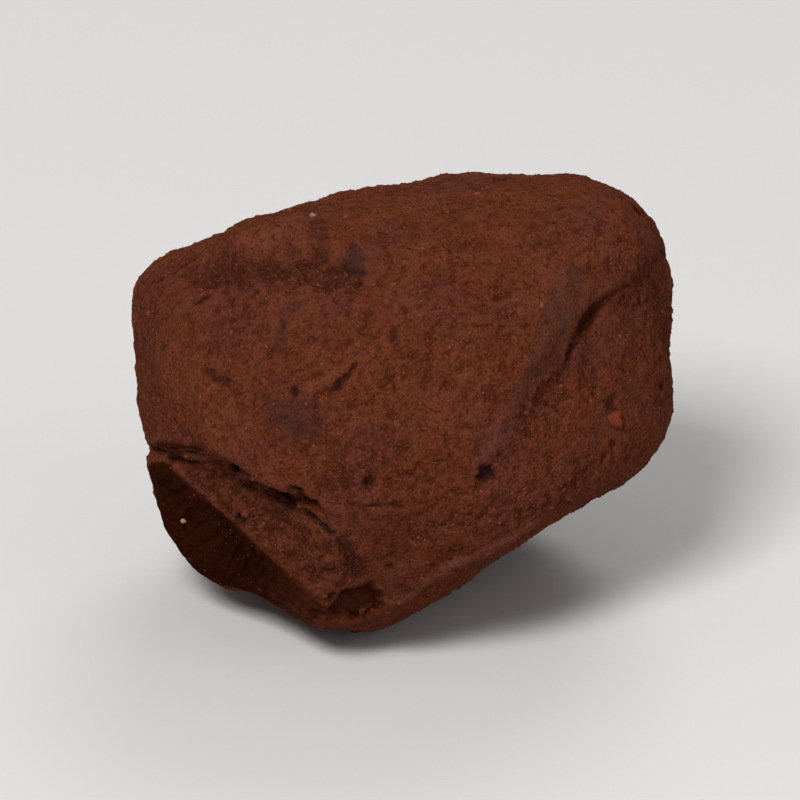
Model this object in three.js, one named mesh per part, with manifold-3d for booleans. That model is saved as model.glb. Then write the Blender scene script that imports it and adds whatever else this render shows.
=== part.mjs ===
// A hand-rolled chocolate truffle: one lump of firm ganache under a coat of cocoa powder.
//
// Millimetres, +Z up. The truffle stands on a small flat spot at z = 0, with the middle of its
// bounding box over the origin. Its front is towards -Y: a broad face with a ridge on its right, and
// a broken lip under a crack at its lower left.
//
// The lump is an icosphere pushed in and out along its radii, first by soft facets that fingers
// pressed into it, then by lumps, folds, ledges and a low unevenness. Three straight cuts follow:
// the crack, the broken side of the lip below it, and the flat spot.

import * as THREE from 'three';
import { mergeVertices } from 'three/addons/utils/BufferGeometryUtils.js';
import { ImprovedNoise } from 'three/addons/math/ImprovedNoise.js';
import Module from 'manifold-3d';

// ---------------------------------------------------------------- driving dimensions

const SPHERE_DETAIL = 20; // 20 * (SPHERE_DETAIL + 1)^2 triangles
const BALL_RADIUS = 19.0; // the lump before anything pressed it
const FACET_CRISPNESS = 11; // higher gives the facets sharper borders
const BASE_DROP = 12.7; // from the lump's centre down to its flat spot

// Directions are seen from the lump's centre: bearing is the compass angle in the ground plane
// (0 = +X, 90 = +Y, -90 = the front) and height the angle above the horizon, both in degrees.
const FACETS = [
  { name: 'front', bearing: -90, height: 30, distance: 14.9 },
  { name: 'left', bearing: 179, height: 4, distance: 18.2 },
  { name: 'low left', bearing: -173, height: -15, distance: 16.7 },
  { name: 'left front', bearing: -138, height: 19, distance: 16.4 },
  { name: 'upper left', bearing: 141, height: 55, distance: 14.3 },
  { name: 'top', bearing: 99, height: 66, distance: 13.9 },
  { name: 'crown', bearing: -90, height: 75, distance: 14.6 },
  { name: 'right', bearing: 3, height: 6, distance: 17.9 },
  { name: 'right front', bearing: -50, height: 13, distance: 15.6 },
  { name: 'lower right', bearing: -30, height: -49, distance: 11.7 },
  { name: 'lower front', bearing: -84, height: -13, distance: 15.2 },
  { name: 'lower left', bearing: -143, height: -50, distance: 15.0 },
  { name: 'underside', bearing: -110, height: -86, distance: 14.2 },
  { name: 'back', bearing: 90, height: 5, distance: 16.2 },
  { name: 'back left', bearing: 135, height: -15, distance: 16.8 },
  { name: 'back right', bearing: 42, height: -8, distance: 16.6 },
  { name: 'lower back', bearing: 80, height: -45, distance: 15.8 },
];

// Rounded swellings (rise > 0) and finger dents (rise < 0). Length and width are their half sizes
// on the surface; turn leans the length up from the level direction.
const LUMPS = [
  { name: 'upper left roll', bearing: -163, height: 51, turn: 10, length: 4.2, width: 2.0, rise: 0.8 },
  { name: 'upper left corner', bearing: 174, height: 24, turn: 0, length: 6.0, width: 3.5, rise: 0.8 },
  { name: 'upper right corner', bearing: 16, height: 31, turn: 0, length: 6.0, width: 4.5, rise: 1.2 },
  { name: 'lower right corner', bearing: -7, height: -15, turn: 0, length: 4.5, width: 4.0, rise: 1.0 },
  { name: 'lower front dent', bearing: -50, height: -50, turn: 30, length: 4.0, width: 2.6, rise: -0.8 },
  { name: 'brow over the lip', bearing: -129, height: 12, turn: -15, length: 7.0, width: 2.4, rise: 0.7 },
  { name: 'back thumb dent', bearing: 62, height: 14, turn: 35, length: 5.0, width: 3.6, rise: -0.9 },
  { name: 'back shoulder', bearing: 106, height: 22, turn: -20, length: 5.0, width: 3.0, rise: 0.8 },
  { name: 'back foot', bearing: 110, height: -34, turn: 15, length: 6.0, width: 3.0, rise: 0.7 },
];

// Grooves along the surface, through the places listed as [bearing, height].
const FOLDS = [
  { name: 'upper fold', path: [[-179, 32], [-146, 43], [-123, 50], [-97, 52]], width: 1.2, depth: 0.6 },
  { name: 'back fold', path: [[78, 48], [100, 30], [122, 14], [141, -8]], width: 1.1, depth: 0.7 },
];

// Steps in the surface. Beside its path, on the lower side (1 = right of the walking direction,
// -1 = left of it), the ground lies lower by the drop, and climbs back over the recovery length.
const LEDGES = [
  {
    name: 'ridge on the right',
    path: [[14, 29], [-6, 34], [-23, 35], [-41, 33], [-49, 29.5], [-58, 24], [-66, 17], [-70, 12]],
    lowerSide: -1,
    drop: 0.8,
    recovery: 5.0,
  },
  {
    name: 'back ledge',
    path: [[20, -20], [38, -12], [58, -14], [80, -10], [98, -18]],
    lowerSide: 1,
    drop: 0.7,
    recovery: 4.0,
  },
];

// The lip is a thick flake standing out below a crack. Its upper face and its broken side are flat.
const LIP = {
  path: [[-192, -17], [-168, -7], [-142, 2], [-131, 4], [-115, 1.5], [-109, 0.5], [-105.5, -4]],
  lowerSide: 1,
  face: { bearing: -127, height: 5, distance: 14.2 },
  brokenSide: { bearing: -141.5, height: -24.4, distance: 14.9 },
  swelling: { bearing: -126, height: -16, turn: -34, length: 8.5, width: 4.4, rise: 2.2 },
};

// The crack runs inwards under the overhang, climbing by the undercut angle. It ends before the
// lip's path does, at the share of the path named by its end.
const CRACK = { mouth: 0.7, depth: 2.6, undercut: 12, end: 0.92 };

const UNEVENNESS = [
  { size: 5.5, rise: 0.4 },
  { size: 2.4, rise: 0.16 },
];

// ---------------------------------------------------------------- directions and noise

const DEGREE = Math.PI / 180;

/** Unit vector towards a bearing and a height angle. */
function toward({ bearing, height }) {
  const level = Math.cos(height * DEGREE);
  return new THREE.Vector3(
    level * Math.cos(bearing * DEGREE),
    level * Math.sin(bearing * DEGREE),
    Math.sin(height * DEGREE),
  );
}

const perlin = new ImprovedNoise();
const NOISE_ORIGIN = new THREE.Vector3(11.3, 5.7, 2.9);

/** Low unevenness of the surface at a point. */
function unevenness(point) {
  return UNEVENNESS.reduce((sum, { size, rise }) => {
    const { x, y, z } = point.clone().divideScalar(size).add(NOISE_ORIGIN);
    return sum + rise * perlin.noise(x, y, z);
  }, 0);
}

// ---------------------------------------------------------------- the pressed lump

const facetNormals = FACETS.map(toward);

/** Distance from the centre to the surface of the ball and its facets, rounded into each other. */
function pressedRadius(direction) {
  let sum = BALL_RADIUS ** -FACET_CRISPNESS;
  FACETS.forEach((facet, i) => {
    const reach = direction.dot(facetNormals[i]) / facet.distance;
    if (reach > 0) sum += reach ** FACET_CRISPNESS;
  });
  return sum ** (-1 / FACET_CRISPNESS);
}

/** The point of the pressed lump in a direction. */
function pressedPoint(direction) {
  return direction.clone().multiplyScalar(pressedRadius(direction));
}

// ---------------------------------------------------------------- paths on the surface

const PATH_STATIONS = 96;

/** A smooth path on the pressed lump, through places listed as [bearing, height]. */
class SurfacePath {
  constructor(places) {
    const points = places.map(([bearing, height]) => pressedPoint(toward({ bearing, height })));
    this.stations = new THREE.CatmullRomCurve3(points).getSpacedPoints(PATH_STATIONS);
    this.last = this.stations.length - 1;
    this.tangents = this.stations.map((_, i) => {
      const next = this.stations[Math.min(i + 1, this.last)];
      const previous = this.stations[Math.max(i - 1, 0)];
      return next.clone().sub(previous).normalize();
    });
    this.rightward = this.stations.map((station, i) => this.tangents[i].clone().cross(station).normalize());
  }

  /** A point's nearest station, its share of the path, and how far right and past the ends it lies. */
  measure(point) {
    let nearest = 0;
    let best = Infinity;
    this.stations.forEach((station, i) => {
      const distance = station.distanceToSquared(point);
      if (distance < best) {
        best = distance;
        nearest = i;
      }
    });
    const offset = point.clone().sub(this.stations[nearest]);
    const forward = offset.dot(this.tangents[nearest]);
    const past = nearest === 0 ? -forward : nearest === this.last ? forward : 0;
    return {
      nearest,
      share: nearest / this.last,
      right: offset.dot(this.rightward[nearest]),
      past: Math.max(past, 0),
    };
  }
}

// ---------------------------------------------------------------- forms on the surface

/** 1 along the middle of a path, fading to 0 at both ends over a share of its length. */
function endFade(share, fadeShare) {
  return THREE.MathUtils.smoothstep(Math.min(share, 1 - share), 0, fadeShare);
}

/** A swelling or dent: returns its rise at a point. */
function lumpForm(lump) {
  const out = toward(lump);
  const anchor = pressedPoint(out);
  const level = new THREE.Vector3(0, 0, 1).cross(out).normalize();
  const along = level.applyAxisAngle(out, lump.turn * DEGREE);
  const across = out.clone().cross(along);
  return (point) => {
    const offset = point.clone().sub(anchor);
    const u = offset.dot(along) / lump.length;
    const v = offset.dot(across) / lump.width;
    const w = offset.dot(out) / lump.length;
    return lump.rise * Math.exp(-(u * u + v * v + w * w));
  };
}

const FOLD_END_DEPTH = 0.4; // of the full depth
const FOLD_FADE = 0.25;

/** A groove: returns its (negative) rise at a point. */
function foldForm(fold) {
  const path = new SurfacePath(fold.path);
  return (point) => {
    const { share, right, past } = path.measure(point);
    const spread = (right * right + past * past) / (fold.width * fold.width);
    const depth = fold.depth * THREE.MathUtils.lerp(FOLD_END_DEPTH, 1, endFade(share, FOLD_FADE));
    return -depth * Math.exp(-spread);
  };
}

const LEDGE_WIDTH = 0.38; // over which a ledge falls from its top line to its foot line
const LEDGE_FADE = 0.2;

const LEDGE_SPREAD = 1.5; // how much wider the slope gets with each step past the ledge's ends

/** How far a place beside a path lies down a ledge: 0 on the upper ground, 1 at the foot and beyond. */
function fallShare({ right, past }, lowerSide) {
  return THREE.MathUtils.smoothstep(right * lowerSide, 0, LEDGE_WIDTH + LEDGE_SPREAD * past);
}

/** A step in the surface: returns its (negative) rise at a point. */
function ledgeForm(ledge) {
  return (point) => {
    const place = ledge.line.measure(point);
    const climb = Math.exp(-((place.right / ledge.recovery) ** 2) - place.past ** 2);
    const depth = ledge.drop * endFade(place.share, LEDGE_FADE);
    return -depth * fallShare(place, ledge.lowerSide) * climb;
  };
}

const ledges = LEDGES.map((ledge) => ({ ...ledge, line: new SurfacePath(ledge.path) }));
const lip = { ...LIP, line: new SurfacePath(LIP.path) };

const forms = [...LUMPS.map(lumpForm), ...FOLDS.map(foldForm), ...ledges.map(ledgeForm)];
const lipSwelling = lumpForm(LIP.swelling);
const lipFaceNormal = toward(LIP.face);

/** The smaller of two lengths, rounded off where they are within the blend of each other. */
function roundedMin(a, b, blend) {
  const overlap = Math.max(blend - Math.abs(a - b), 0) / blend;
  return Math.min(a, b) - (overlap * overlap * blend) / 4;
}

const LIP_ROUNDING = 0.6;

/** The lip's distance from the centre: the lump swollen out, then flat on its upper face. */
function lipRadius(direction, lumpRadius, point) {
  const swollen = lumpRadius + lipSwelling(point);
  const facing = direction.dot(lipFaceNormal);
  return facing > 0 ? roundedMin(swollen, LIP.face.distance / facing, LIP_ROUNDING) : swollen;
}

/** The finished surface's distance from the centre in a direction, before the cuts. */
function surfaceRadius(direction) {
  const point = pressedPoint(direction);
  const lump = forms.reduce((sum, form) => sum + form(point), point.length());
  const belowCrack = fallShare(lip.line.measure(point), lip.lowerSide);
  const radius = THREE.MathUtils.lerp(lump, lipRadius(direction, lump, point), belowCrack);
  return radius + unevenness(point);
}

// ---------------------------------------------------------------- the lump's mesh

const GATHER_SQUEEZE = 0.05; // share of its distance from a ledge that a very near point keeps
const GATHER_NEAR = 0.55; // out to this distance, and more and more
const GATHER_REACH = 3.2; // out to this one

/** Slides a direction sideways, so that the mesh is fine beside a ledge and skips its slope. */
function settleBesideLedge(direction, { line, lowerSide }) {
  const point = pressedPoint(direction);
  const { right, past, nearest } = line.measure(point);
  const edge = right * lowerSide > 0 ? LEDGE_WIDTH * lowerSide : 0;
  const looseness = THREE.MathUtils.smoothstep(Math.hypot(right, past), GATHER_NEAR, GATHER_REACH);
  const settled = edge * (1 - looseness) + right * THREE.MathUtils.lerp(GATHER_SQUEEZE, 1, looseness);
  return point.addScaledVector(line.rightward[nearest], settled - right).normalize();
}

/** The whole lump, before the cuts. */
function lumpGeometry() {
  const geometry = new THREE.IcosahedronGeometry(1, SPHERE_DETAIL);
  geometry.deleteAttribute('normal');
  geometry.deleteAttribute('uv');
  const merged = mergeVertices(geometry, 1e-5);
  const position = merged.getAttribute('position');
  for (let i = 0; i < position.count; i++) {
    const even = new THREE.Vector3().fromBufferAttribute(position, i).normalize();
    const direction = [...ledges, lip].reduce(settleBesideLedge, even);
    const { x, y, z } = direction.multiplyScalar(surfaceRadius(direction));
    position.setXYZ(i, x, y, z);
  }
  return merged;
}

// ---------------------------------------------------------------- cutters

const CUTTER_SIZE = 60;

/** A large block whose near face lies at a distance from the centre, square to a direction. */
function blockBeyond(place) {
  const block = new THREE.BoxGeometry(CUTTER_SIZE, CUTTER_SIZE, CUTTER_SIZE);
  block.translate(0, 0, CUTTER_SIZE / 2 + place.distance);
  const turn = new THREE.Quaternion().setFromUnitVectors(new THREE.Vector3(0, 0, 1), toward(place));
  return block.applyQuaternion(turn);
}

const BLADE_SECTIONS = 20;
const BLADE_OVERSHOOT = 1.5; // how far the crack's cutter stands out of the surface
const BLADE_CORNERS = 3;
const BLADE_TIP_SHARE = 0.3; // of its full size, at the crack's two ends
const BLADE_FADE = 0.3;

/** The crack's cutter: a thin triangular blade carried along the lip's path, under the overhang. */
function crackBlade() {
  const { line, lowerSide } = lip;
  const positions = [];
  for (let section = 0; section <= BLADE_SECTIONS; section++) {
    const share = section / BLADE_SECTIONS;
    const i = Math.round(share * CRACK.end * line.last);
    const station = line.stations[i];
    const outward = station.clone().normalize();
    const down = line.rightward[i].clone().multiplyScalar(lowerSide);
    const inward = outward.clone().negate().addScaledVector(down, -Math.tan(CRACK.undercut * DEGREE)).normalize();
    const size = THREE.MathUtils.lerp(BLADE_TIP_SHARE, 1, endFade(share, BLADE_FADE));
    const depth = CRACK.depth * size;
    const halfMouth = (CRACK.mouth / 2) * size * (1 + BLADE_OVERSHOOT / depth);
    const surface = outward.multiplyScalar(surfaceRadius(outward));
    const mouth = surface.clone().addScaledVector(inward, -BLADE_OVERSHOOT);
    const corners = [
      mouth.clone().addScaledVector(down, -halfMouth),
      mouth.clone().addScaledVector(down, halfMouth),
      surface.clone().addScaledVector(inward, depth),
    ];
    corners.forEach((corner) => positions.push(...corner.toArray()));
  }
  const index = [];
  for (let section = 0; section < BLADE_SECTIONS; section++) {
    for (let side = 0; side < BLADE_CORNERS; side++) {
      const a = section * BLADE_CORNERS + side;
      const b = section * BLADE_CORNERS + ((side + 1) % BLADE_CORNERS);
      index.push(a, b, a + BLADE_CORNERS, b, b + BLADE_CORNERS, a + BLADE_CORNERS);
    }
  }
  const end = BLADE_SECTIONS * BLADE_CORNERS;
  index.push(2, 1, 0, end, end + 1, end + 2);
  const blade = new THREE.BufferGeometry();
  blade.setAttribute('position', new THREE.Float32BufferAttribute(positions, 3));
  blade.setIndex(index);
  return blade;
}

// ---------------------------------------------------------------- joining and cutting

const wasm = await Module();
wasm.setup();

/** A closed geometry as a manifold solid. */
function toSolid(geometry) {
  const bare = geometry.clone();
  bare.deleteAttribute('normal');
  bare.deleteAttribute('uv');
  const merged = mergeVertices(bare, 1e-5);
  return new wasm.Manifold(new wasm.Mesh({
    numProp: 3,
    vertProperties: new Float32Array(merged.getAttribute('position').array),
    triVerts: new Uint32Array(merged.index.array),
  }));
}

/** A manifold solid as a geometry. */
function toGeometry(solid) {
  const mesh = solid.getMesh();
  const geometry = new THREE.BufferGeometry();
  geometry.setAttribute('position', new THREE.BufferAttribute(new Float32Array(mesh.vertProperties), 3));
  geometry.setIndex(new THREE.BufferAttribute(new Uint32Array(mesh.triVerts), 1));
  return geometry;
}

/** The truffle's one solid, moved so that it stands on the ground over the origin. */
function truffleGeometry() {
  const flatSpot = { bearing: 0, height: -90, distance: BASE_DROP };
  const cutters = [crackBlade(), blockBeyond(LIP.brokenSide), blockBeyond(flatSpot)];
  const cut = cutters.map(toSolid).reduce((solid, cutter) => solid.subtract(cutter), toSolid(lumpGeometry()));
  const geometry = toGeometry(cut);
  geometry.computeBoundingBox();
  const middle = geometry.boundingBox.getCenter(new THREE.Vector3());
  return geometry.translate(-middle.x, -middle.y, -geometry.boundingBox.min.z);
}

// ---------------------------------------------------------------- the part

const cocoa = new THREE.MeshStandardMaterial({ color: 0x5c2e1e, roughness: 0.95, metalness: 0 });

const truffle = new THREE.Mesh(truffleGeometry(), cocoa);
truffle.name = 'truffle';

const group = new THREE.Group();
group.add(truffle);

export default group;
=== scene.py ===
"""A hand-rolled chocolate truffle: firm ganache under a coat of cocoa powder, on a pale floor.

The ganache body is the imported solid's own form, made fine and softened, with the small relief of
a hand-rolled sweet worked into it: the crack over the broken lip, the torn faces, the ridge's
crumbly edge, pits, furrows and rubbed patches. Cocoa grains, clumps and crumbs lie on it as real
meshes.
"""

import logging
import math
from collections.abc import Sequence
from dataclasses import dataclass, field
from enum import Enum, StrEnum
from typing import NamedTuple

import bmesh
import bpy
import numpy as np
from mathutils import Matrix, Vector, noise
from mathutils.bvhtree import BVHTree

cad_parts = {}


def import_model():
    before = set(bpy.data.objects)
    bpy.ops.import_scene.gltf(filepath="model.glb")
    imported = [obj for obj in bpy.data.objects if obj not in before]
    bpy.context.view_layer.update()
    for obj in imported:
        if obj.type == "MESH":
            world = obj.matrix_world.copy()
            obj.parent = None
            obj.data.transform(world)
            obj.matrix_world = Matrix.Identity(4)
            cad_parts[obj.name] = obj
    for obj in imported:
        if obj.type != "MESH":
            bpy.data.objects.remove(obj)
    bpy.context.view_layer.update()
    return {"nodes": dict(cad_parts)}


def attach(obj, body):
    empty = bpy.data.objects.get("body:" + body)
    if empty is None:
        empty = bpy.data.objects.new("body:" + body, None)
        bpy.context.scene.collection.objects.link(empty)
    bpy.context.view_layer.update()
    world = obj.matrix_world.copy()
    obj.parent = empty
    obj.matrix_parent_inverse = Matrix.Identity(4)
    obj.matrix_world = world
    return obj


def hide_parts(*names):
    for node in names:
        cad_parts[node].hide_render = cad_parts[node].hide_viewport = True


LOG = logging.getLogger("truffle")

MM = 0.001
BODY = "root"
NODE = "truffle"

# The truffle's middle, the camera's height over it in degrees and its distance in metres.
CENTRE = (-0.2147 * MM, -0.3472 * MM, 12.7 * MM)
CAMERA_HEIGHT = 24.0
CAMERA_DISTANCE = 0.56

Array = np.ndarray
Colour = tuple[float, float, float]
Spot = tuple[float, float]


class Zone(StrEnum):
    """What each point of the body carries, from 0 to 1."""

    # Bare ganache; along the ridge's shade lines, beside the squiggle and the lip and in the
    # valley it is painted shade.
    BARE_AND_SHADE = "bare"
    RUBBED = "rubbed"
    # Paler powder; on the crests, the top lump, the squiggle and the fold under the valley it is a
    # painted highlight.
    PALE = "pale"
    # The lip's torn face; in the valley and over the crack it is painted shade.
    TORN_AND_SHADE = "torn"
    # The broken side, whose dark colour is partly painted shade; in the notch at the lip's end it
    # is painted shade.
    SIDE = "side"
    GRITTY = "gritty"
    # How deep a point lies, finely and broadly; the finish paints shade into the hollows from
    # these.
    HOLLOW = "hollow"
    DIP = "dip"
    TONE = "tone"


class Draw(Enum):
    """What is drawn at random for each grain."""

    SIZE = 1
    TONE = 2
    FLATNESS = 3


# Cocoa powder hardly shines, and scatters a little light at its edges as velvet does.
POWDER_SPECULAR = 0.005
VELVET = 0.006
VELVET_ROUGHNESS = 0.5
VELVET_TINT = (0.80, 0.48, 0.34)

# Points nearer than this, in metres, are one point.
SAME_PLACE = 1e-7

# Stands in for the rise of a level edge, which nothing crosses.
HARDLY_ANY = 1e-9


# ---------------------------------------------------------------- shader and geometry trees


class Value:
    """A number's socket in a node tree, which Python's operators turn into Math nodes."""

    def __init__(self, sheet: "Sheet", socket: bpy.types.NodeSocket) -> None:
        """Wraps a socket.

        Args:
            sheet: The tree that the socket belongs to.
            socket: An output socket that carries a number.
        """
        self.sheet = sheet
        self.socket = socket

    def math(self, operation: str, first: "Value | float", second: "Value | float") -> "Value":
        """Adds a Math node.

        Args:
            operation: The Math node's operation.
            first: Its first value.
            second: Its second value.

        Returns:
            The node's result.
        """
        node = self.sheet.node("ShaderNodeMath", {"operation": operation}, {0: first, 1: second})
        return Value(self.sheet, node.outputs[0])

    def __add__(self, other: "Value | float") -> "Value":
        """Returns the sum."""
        return self.math("ADD", self, other)

    __radd__ = __add__

    def __sub__(self, other: "Value | float") -> "Value":
        """Returns the difference."""
        return self.math("SUBTRACT", self, other)

    def __rsub__(self, other: float) -> "Value":
        """Returns the difference the other way round."""
        return self.math("SUBTRACT", other, self)

    def __mul__(self, other: "Value | float") -> "Value":
        """Returns the product."""
        return self.math("MULTIPLY", self, other)

    __rmul__ = __mul__

    def at_least(self, other: "Value | float") -> "Value":
        """Returns the larger value."""
        return self.math("MAXIMUM", self, other)

    def between(self, low: float, high: float, start: float = 0.0, end: float = 1.0) -> "Value":
        """Maps the range from low to high smoothly onto start to end, and holds the ends."""
        node = self.sheet.node(
            "ShaderNodeMapRange",
            {"interpolation_type": "SMOOTHSTEP"},
            {0: self, 1: low, 2: high, 3: start, 4: end},
        )
        return Value(self.sheet, node.outputs[0])


class Sheet:
    """A node tree, filled through one method."""

    def __init__(self, tree: bpy.types.NodeTree) -> None:
        """Wraps a tree and empties it."""
        self.tree = tree
        tree.nodes.clear()

    def node(
        self,
        kind: str,
        settings: dict[str, object] | None = None,
        inputs: dict[int | str, object] | None = None,
    ) -> bpy.types.Node:
        """Adds a node.

        Args:
            kind: The node's type.
            settings: Its own properties, set first.
            inputs: Values or links of its sockets, by name or number.

        Returns:
            The node.
        """
        made = self.tree.nodes.new(kind)
        for name, value in (settings or {}).items():
            setattr(made, name, value)
        for name, value in (inputs or {}).items():
            self.feed(made.inputs[name], value)
        return made

    def feed(self, socket: bpy.types.NodeSocket, value: object) -> None:
        """Links a socket to a value, or sets its own number or colour.

        Args:
            socket: The input socket.
            value: A number, a colour, a socket or a wrapped one.
        """
        if isinstance(value, Value):
            value = value.socket
        if isinstance(value, bpy.types.NodeSocket):
            self.tree.links.new(value, socket)
        elif isinstance(value, tuple) and socket.type == "RGBA" and len(value) == 3:
            socket.default_value = (*value, 1.0)
        else:
            socket.default_value = value

    def value(self, made: bpy.types.Node, output: int | str = 0) -> Value:
        """Returns a node's output as a number."""
        return Value(self, made.outputs[output])

    def attribute(self, name: Zone) -> Value:
        """Returns a number that the mesh carries."""
        raise NotImplementedError

    def attributes(self, *names: Zone) -> list[Value]:
        """Returns several numbers that the mesh carries."""
        return [self.attribute(name) for name in names]

    def noise(
        self, where: object, size: float, detail: float = 2.0, roughness: float = 0.5
    ) -> Value:
        """Returns smooth noise from 0 to 1 with features of a size in metres."""
        inputs = {"Vector": where, "Scale": 1.0 / size, "Detail": detail, "Roughness": roughness}
        return self.value(self.node("ShaderNodeTexNoise", {"noise_dimensions": "3D"}, inputs))

    def cells(self, where: object, size: float) -> Value:
        """Returns the distance to the nearest cell's middle, as a share of the cells' size."""
        inputs = {"Vector": where, "Scale": 1.0 / size}
        return self.value(self.node("ShaderNodeTexVoronoi", {"feature": "F1"}, inputs), "Distance")

    def vectors(self, operation: str, first: object, second: object) -> bpy.types.NodeSocket:
        """Adds a Vector Math node.

        Args:
            operation: The node's operation.
            first: Its first vector.
            second: Its second vector, or a number for SCALE.

        Returns:
            The resulting vector.
        """
        place = "Scale" if operation == "SCALE" else 1
        node = self.node(
            "ShaderNodeVectorMath", {"operation": operation}, {0: first, place: second}
        )
        return node.outputs[0]

    def warped(self, where: object, size: float, reach: float) -> bpy.types.NodeSocket:
        """Returns places shifted by noise, so that cells lose their regular outlines."""
        return self.vectors("ADD", where, self.push(where, {"Scale": 1.0 / size}, reach))

    def push(
        self, where: object, inputs: dict[str, object], reach: float
    ) -> bpy.types.NodeSocket:
        """Makes noisy shifts in all directions.

        Args:
            where: The places to read the noise at.
            inputs: The noise's own values.
            reach: Twice the furthest shift.

        Returns:
            A vector that differs from place to place.
        """
        made = self.node(
            "ShaderNodeTexNoise", {"noise_dimensions": "3D"}, {"Vector": where, **inputs}
        )
        centred = self.vectors("SUBTRACT", made.outputs["Color"], (0.5, 0.5, 0.5))
        return self.vectors("SCALE", centred, reach)


class FinishSheet(Sheet):
    """A material's node tree."""

    def __init__(self, name: str) -> None:
        """Makes an empty material.

        Args:
            name: The material's name.
        """
        self.material = bpy.data.materials.new(name)
        self.material.use_nodes = True
        super().__init__(self.material.node_tree)

    def places(self) -> bpy.types.NodeSocket:
        """Returns the object's own coordinates, in metres."""
        return self.node("ShaderNodeTexCoord").outputs["Object"]

    def attribute(self, name: Zone) -> Value:
        """Returns a number that the mesh carries."""
        return self.value(self.node("ShaderNodeAttribute", {"attribute_name": name.value}), "Fac")

    def mix(self, share: object, low: object, high: object) -> bpy.types.NodeSocket:
        """Returns a colour between two colours."""
        made = self.node(
            "ShaderNodeMix",
            {"data_type": "RGBA", "clamp_factor": True},
            {0: share, 6: low, 7: high},
        )
        return made.outputs[2]

    def bumps(self, height: object, strength: float, depth: float) -> bpy.types.NodeSocket:
        """Returns the normals of a relief that is as deep as this, in metres."""
        inputs = {"Strength": strength, "Distance": depth, "Height": height}
        return self.node("ShaderNodeBump", None, inputs).outputs[0]

    def powder(self, colour: object, roughness: object, normal: object) -> bpy.types.Material:
        """Ends the tree with a matt, faintly velvety powder.

        Args:
            colour: Its colour.
            roughness: How dull it is.
            normal: The normals of its relief.

        Returns:
            The material.
        """
        inputs = {
            "Base Color": colour,
            "Roughness": roughness,
            "Specular IOR Level": POWDER_SPECULAR,
            "Sheen Weight": VELVET,
            "Sheen Roughness": VELVET_ROUGHNESS,
            "Sheen Tint": VELVET_TINT,
            "Normal": normal,
        }
        return self.finish(self.node("ShaderNodeBsdfPrincipled", None, inputs))

    def finish(self, shader: bpy.types.Node) -> bpy.types.Material:
        """Shows a shader on the surface and returns the material."""
        self.node("ShaderNodeOutputMaterial", None, {"Surface": shader.outputs[0]})
        return self.material


class ShapeSheet(Sheet):
    """A Geometry Nodes tree with named inputs, run once on a mesh."""

    def __init__(self, name: str) -> None:
        """Makes an empty tree with a mesh coming in and going out.

        Args:
            name: The tree's name.
        """
        tree = bpy.data.node_groups.new(name, "GeometryNodeTree")
        super().__init__(tree)
        self.values: dict[str, object] = {}
        for way in ("INPUT", "OUTPUT"):
            tree.interface.new_socket("Geometry", in_out=way, socket_type="NodeSocketGeometry")
        self.start = self.node("NodeGroupInput")
        self.end = self.node("NodeGroupOutput")

    def knob(
        self, name: str, value: float | bpy.types.Material, kind: str = "NodeSocketFloat"
    ) -> Value:
        """Adds a named input.

        Args:
            name: The input's name.
            value: What the modifier sets it to.
            kind: The type of its socket.

        Returns:
            The input.
        """
        self.tree.interface.new_socket(name, in_out="INPUT", socket_type=kind)
        self.values[name] = value
        return Value(self, self.start.outputs[name])

    def attribute(self, name: Zone) -> Value:
        """Returns a number that the mesh carries."""
        made = self.node(
            "GeometryNodeInputNamedAttribute", {"data_type": "FLOAT"}, {"Name": name.value}
        )
        return self.value(made, "Attribute")

    def places(self) -> bpy.types.NodeSocket:
        """Returns the points' places."""
        return self.node("GeometryNodeInputPosition").outputs[0]

    def floor_clearance(self, where: object) -> Value:
        """Returns each point's height over the floor."""
        return self.value(self.node("ShaderNodeSeparateXYZ", None, {0: where}), 2)

    def moved(self, geometry: object, offset: object) -> bpy.types.NodeSocket:
        """Returns the geometry with its points shifted."""
        made = self.node(
            "GeometryNodeSetPosition", None, {"Geometry": geometry, "Offset": offset}
        )
        return made.outputs[0]

    def stored(self, geometry: object, name: Zone, value: object) -> bpy.types.NodeSocket:
        """Returns the geometry with a number stored on its points."""
        made = self.node(
            "GeometryNodeStoreNamedAttribute",
            {"data_type": "FLOAT", "domain": "POINT"},
            {"Geometry": geometry, "Name": name.value, "Value": value},
        )
        return made.outputs[0]

    def draw(self, seed: Value, what: Draw) -> Value:
        """Draws at random.

        Args:
            seed: The scatter's seed.
            what: What is drawn, which has its own numbers.

        Returns:
            A number from 0 to 1 for each point.
        """
        index = self.node("GeometryNodeInputIndex").outputs[0]
        made = self.node(
            "FunctionNodeRandomValue",
            {"data_type": "FLOAT"},
            {"ID": index, "Seed": seed + float(what.value)},
        )
        return Value(self, next(socket for socket in made.outputs if socket.enabled))

    def dressed(self, geometry: object, finish: Value) -> None:
        """Ends the tree with real, smooth geometry in its material.

        Args:
            geometry: What the tree has made.
            finish: The input that holds the material.
        """
        real = self.node("GeometryNodeRealizeInstances", None, {0: geometry})
        smooth = self.node("GeometryNodeSetShadeSmooth", None, {0: real.outputs[0]})
        made = self.node(
            "GeometryNodeSetMaterial", None, {0: smooth.outputs[0], "Material": finish}
        )
        self.feed(self.end.inputs[0], made.outputs[0])

    def apply(self, mesh: bpy.types.Mesh, name: str) -> bpy.types.Object:
        """Runs the tree on a mesh.

        Args:
            mesh: What goes in.
            name: The new object's name.

        Returns:
            A new object with the resulting mesh and no modifier.
        """
        carrier = placed(mesh, name + "_source")
        modifier = carrier.modifiers.new(name, "NODES")
        modifier.node_group = self.tree
        for item in self.tree.interface.items_tree:
            if item.in_out == "INPUT" and item.name in self.values:
                modifier[item.identifier] = self.values[item.name]
        return baked(carrier, name)


def placed(mesh: bpy.types.Mesh, name: str) -> bpy.types.Object:
    """Puts a mesh into the scene.

    Args:
        mesh: The mesh.
        name: The object's name.

    Returns:
        The object.
    """
    made = bpy.data.objects.new(name, mesh)
    bpy.context.scene.collection.objects.link(made)
    return made


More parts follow.
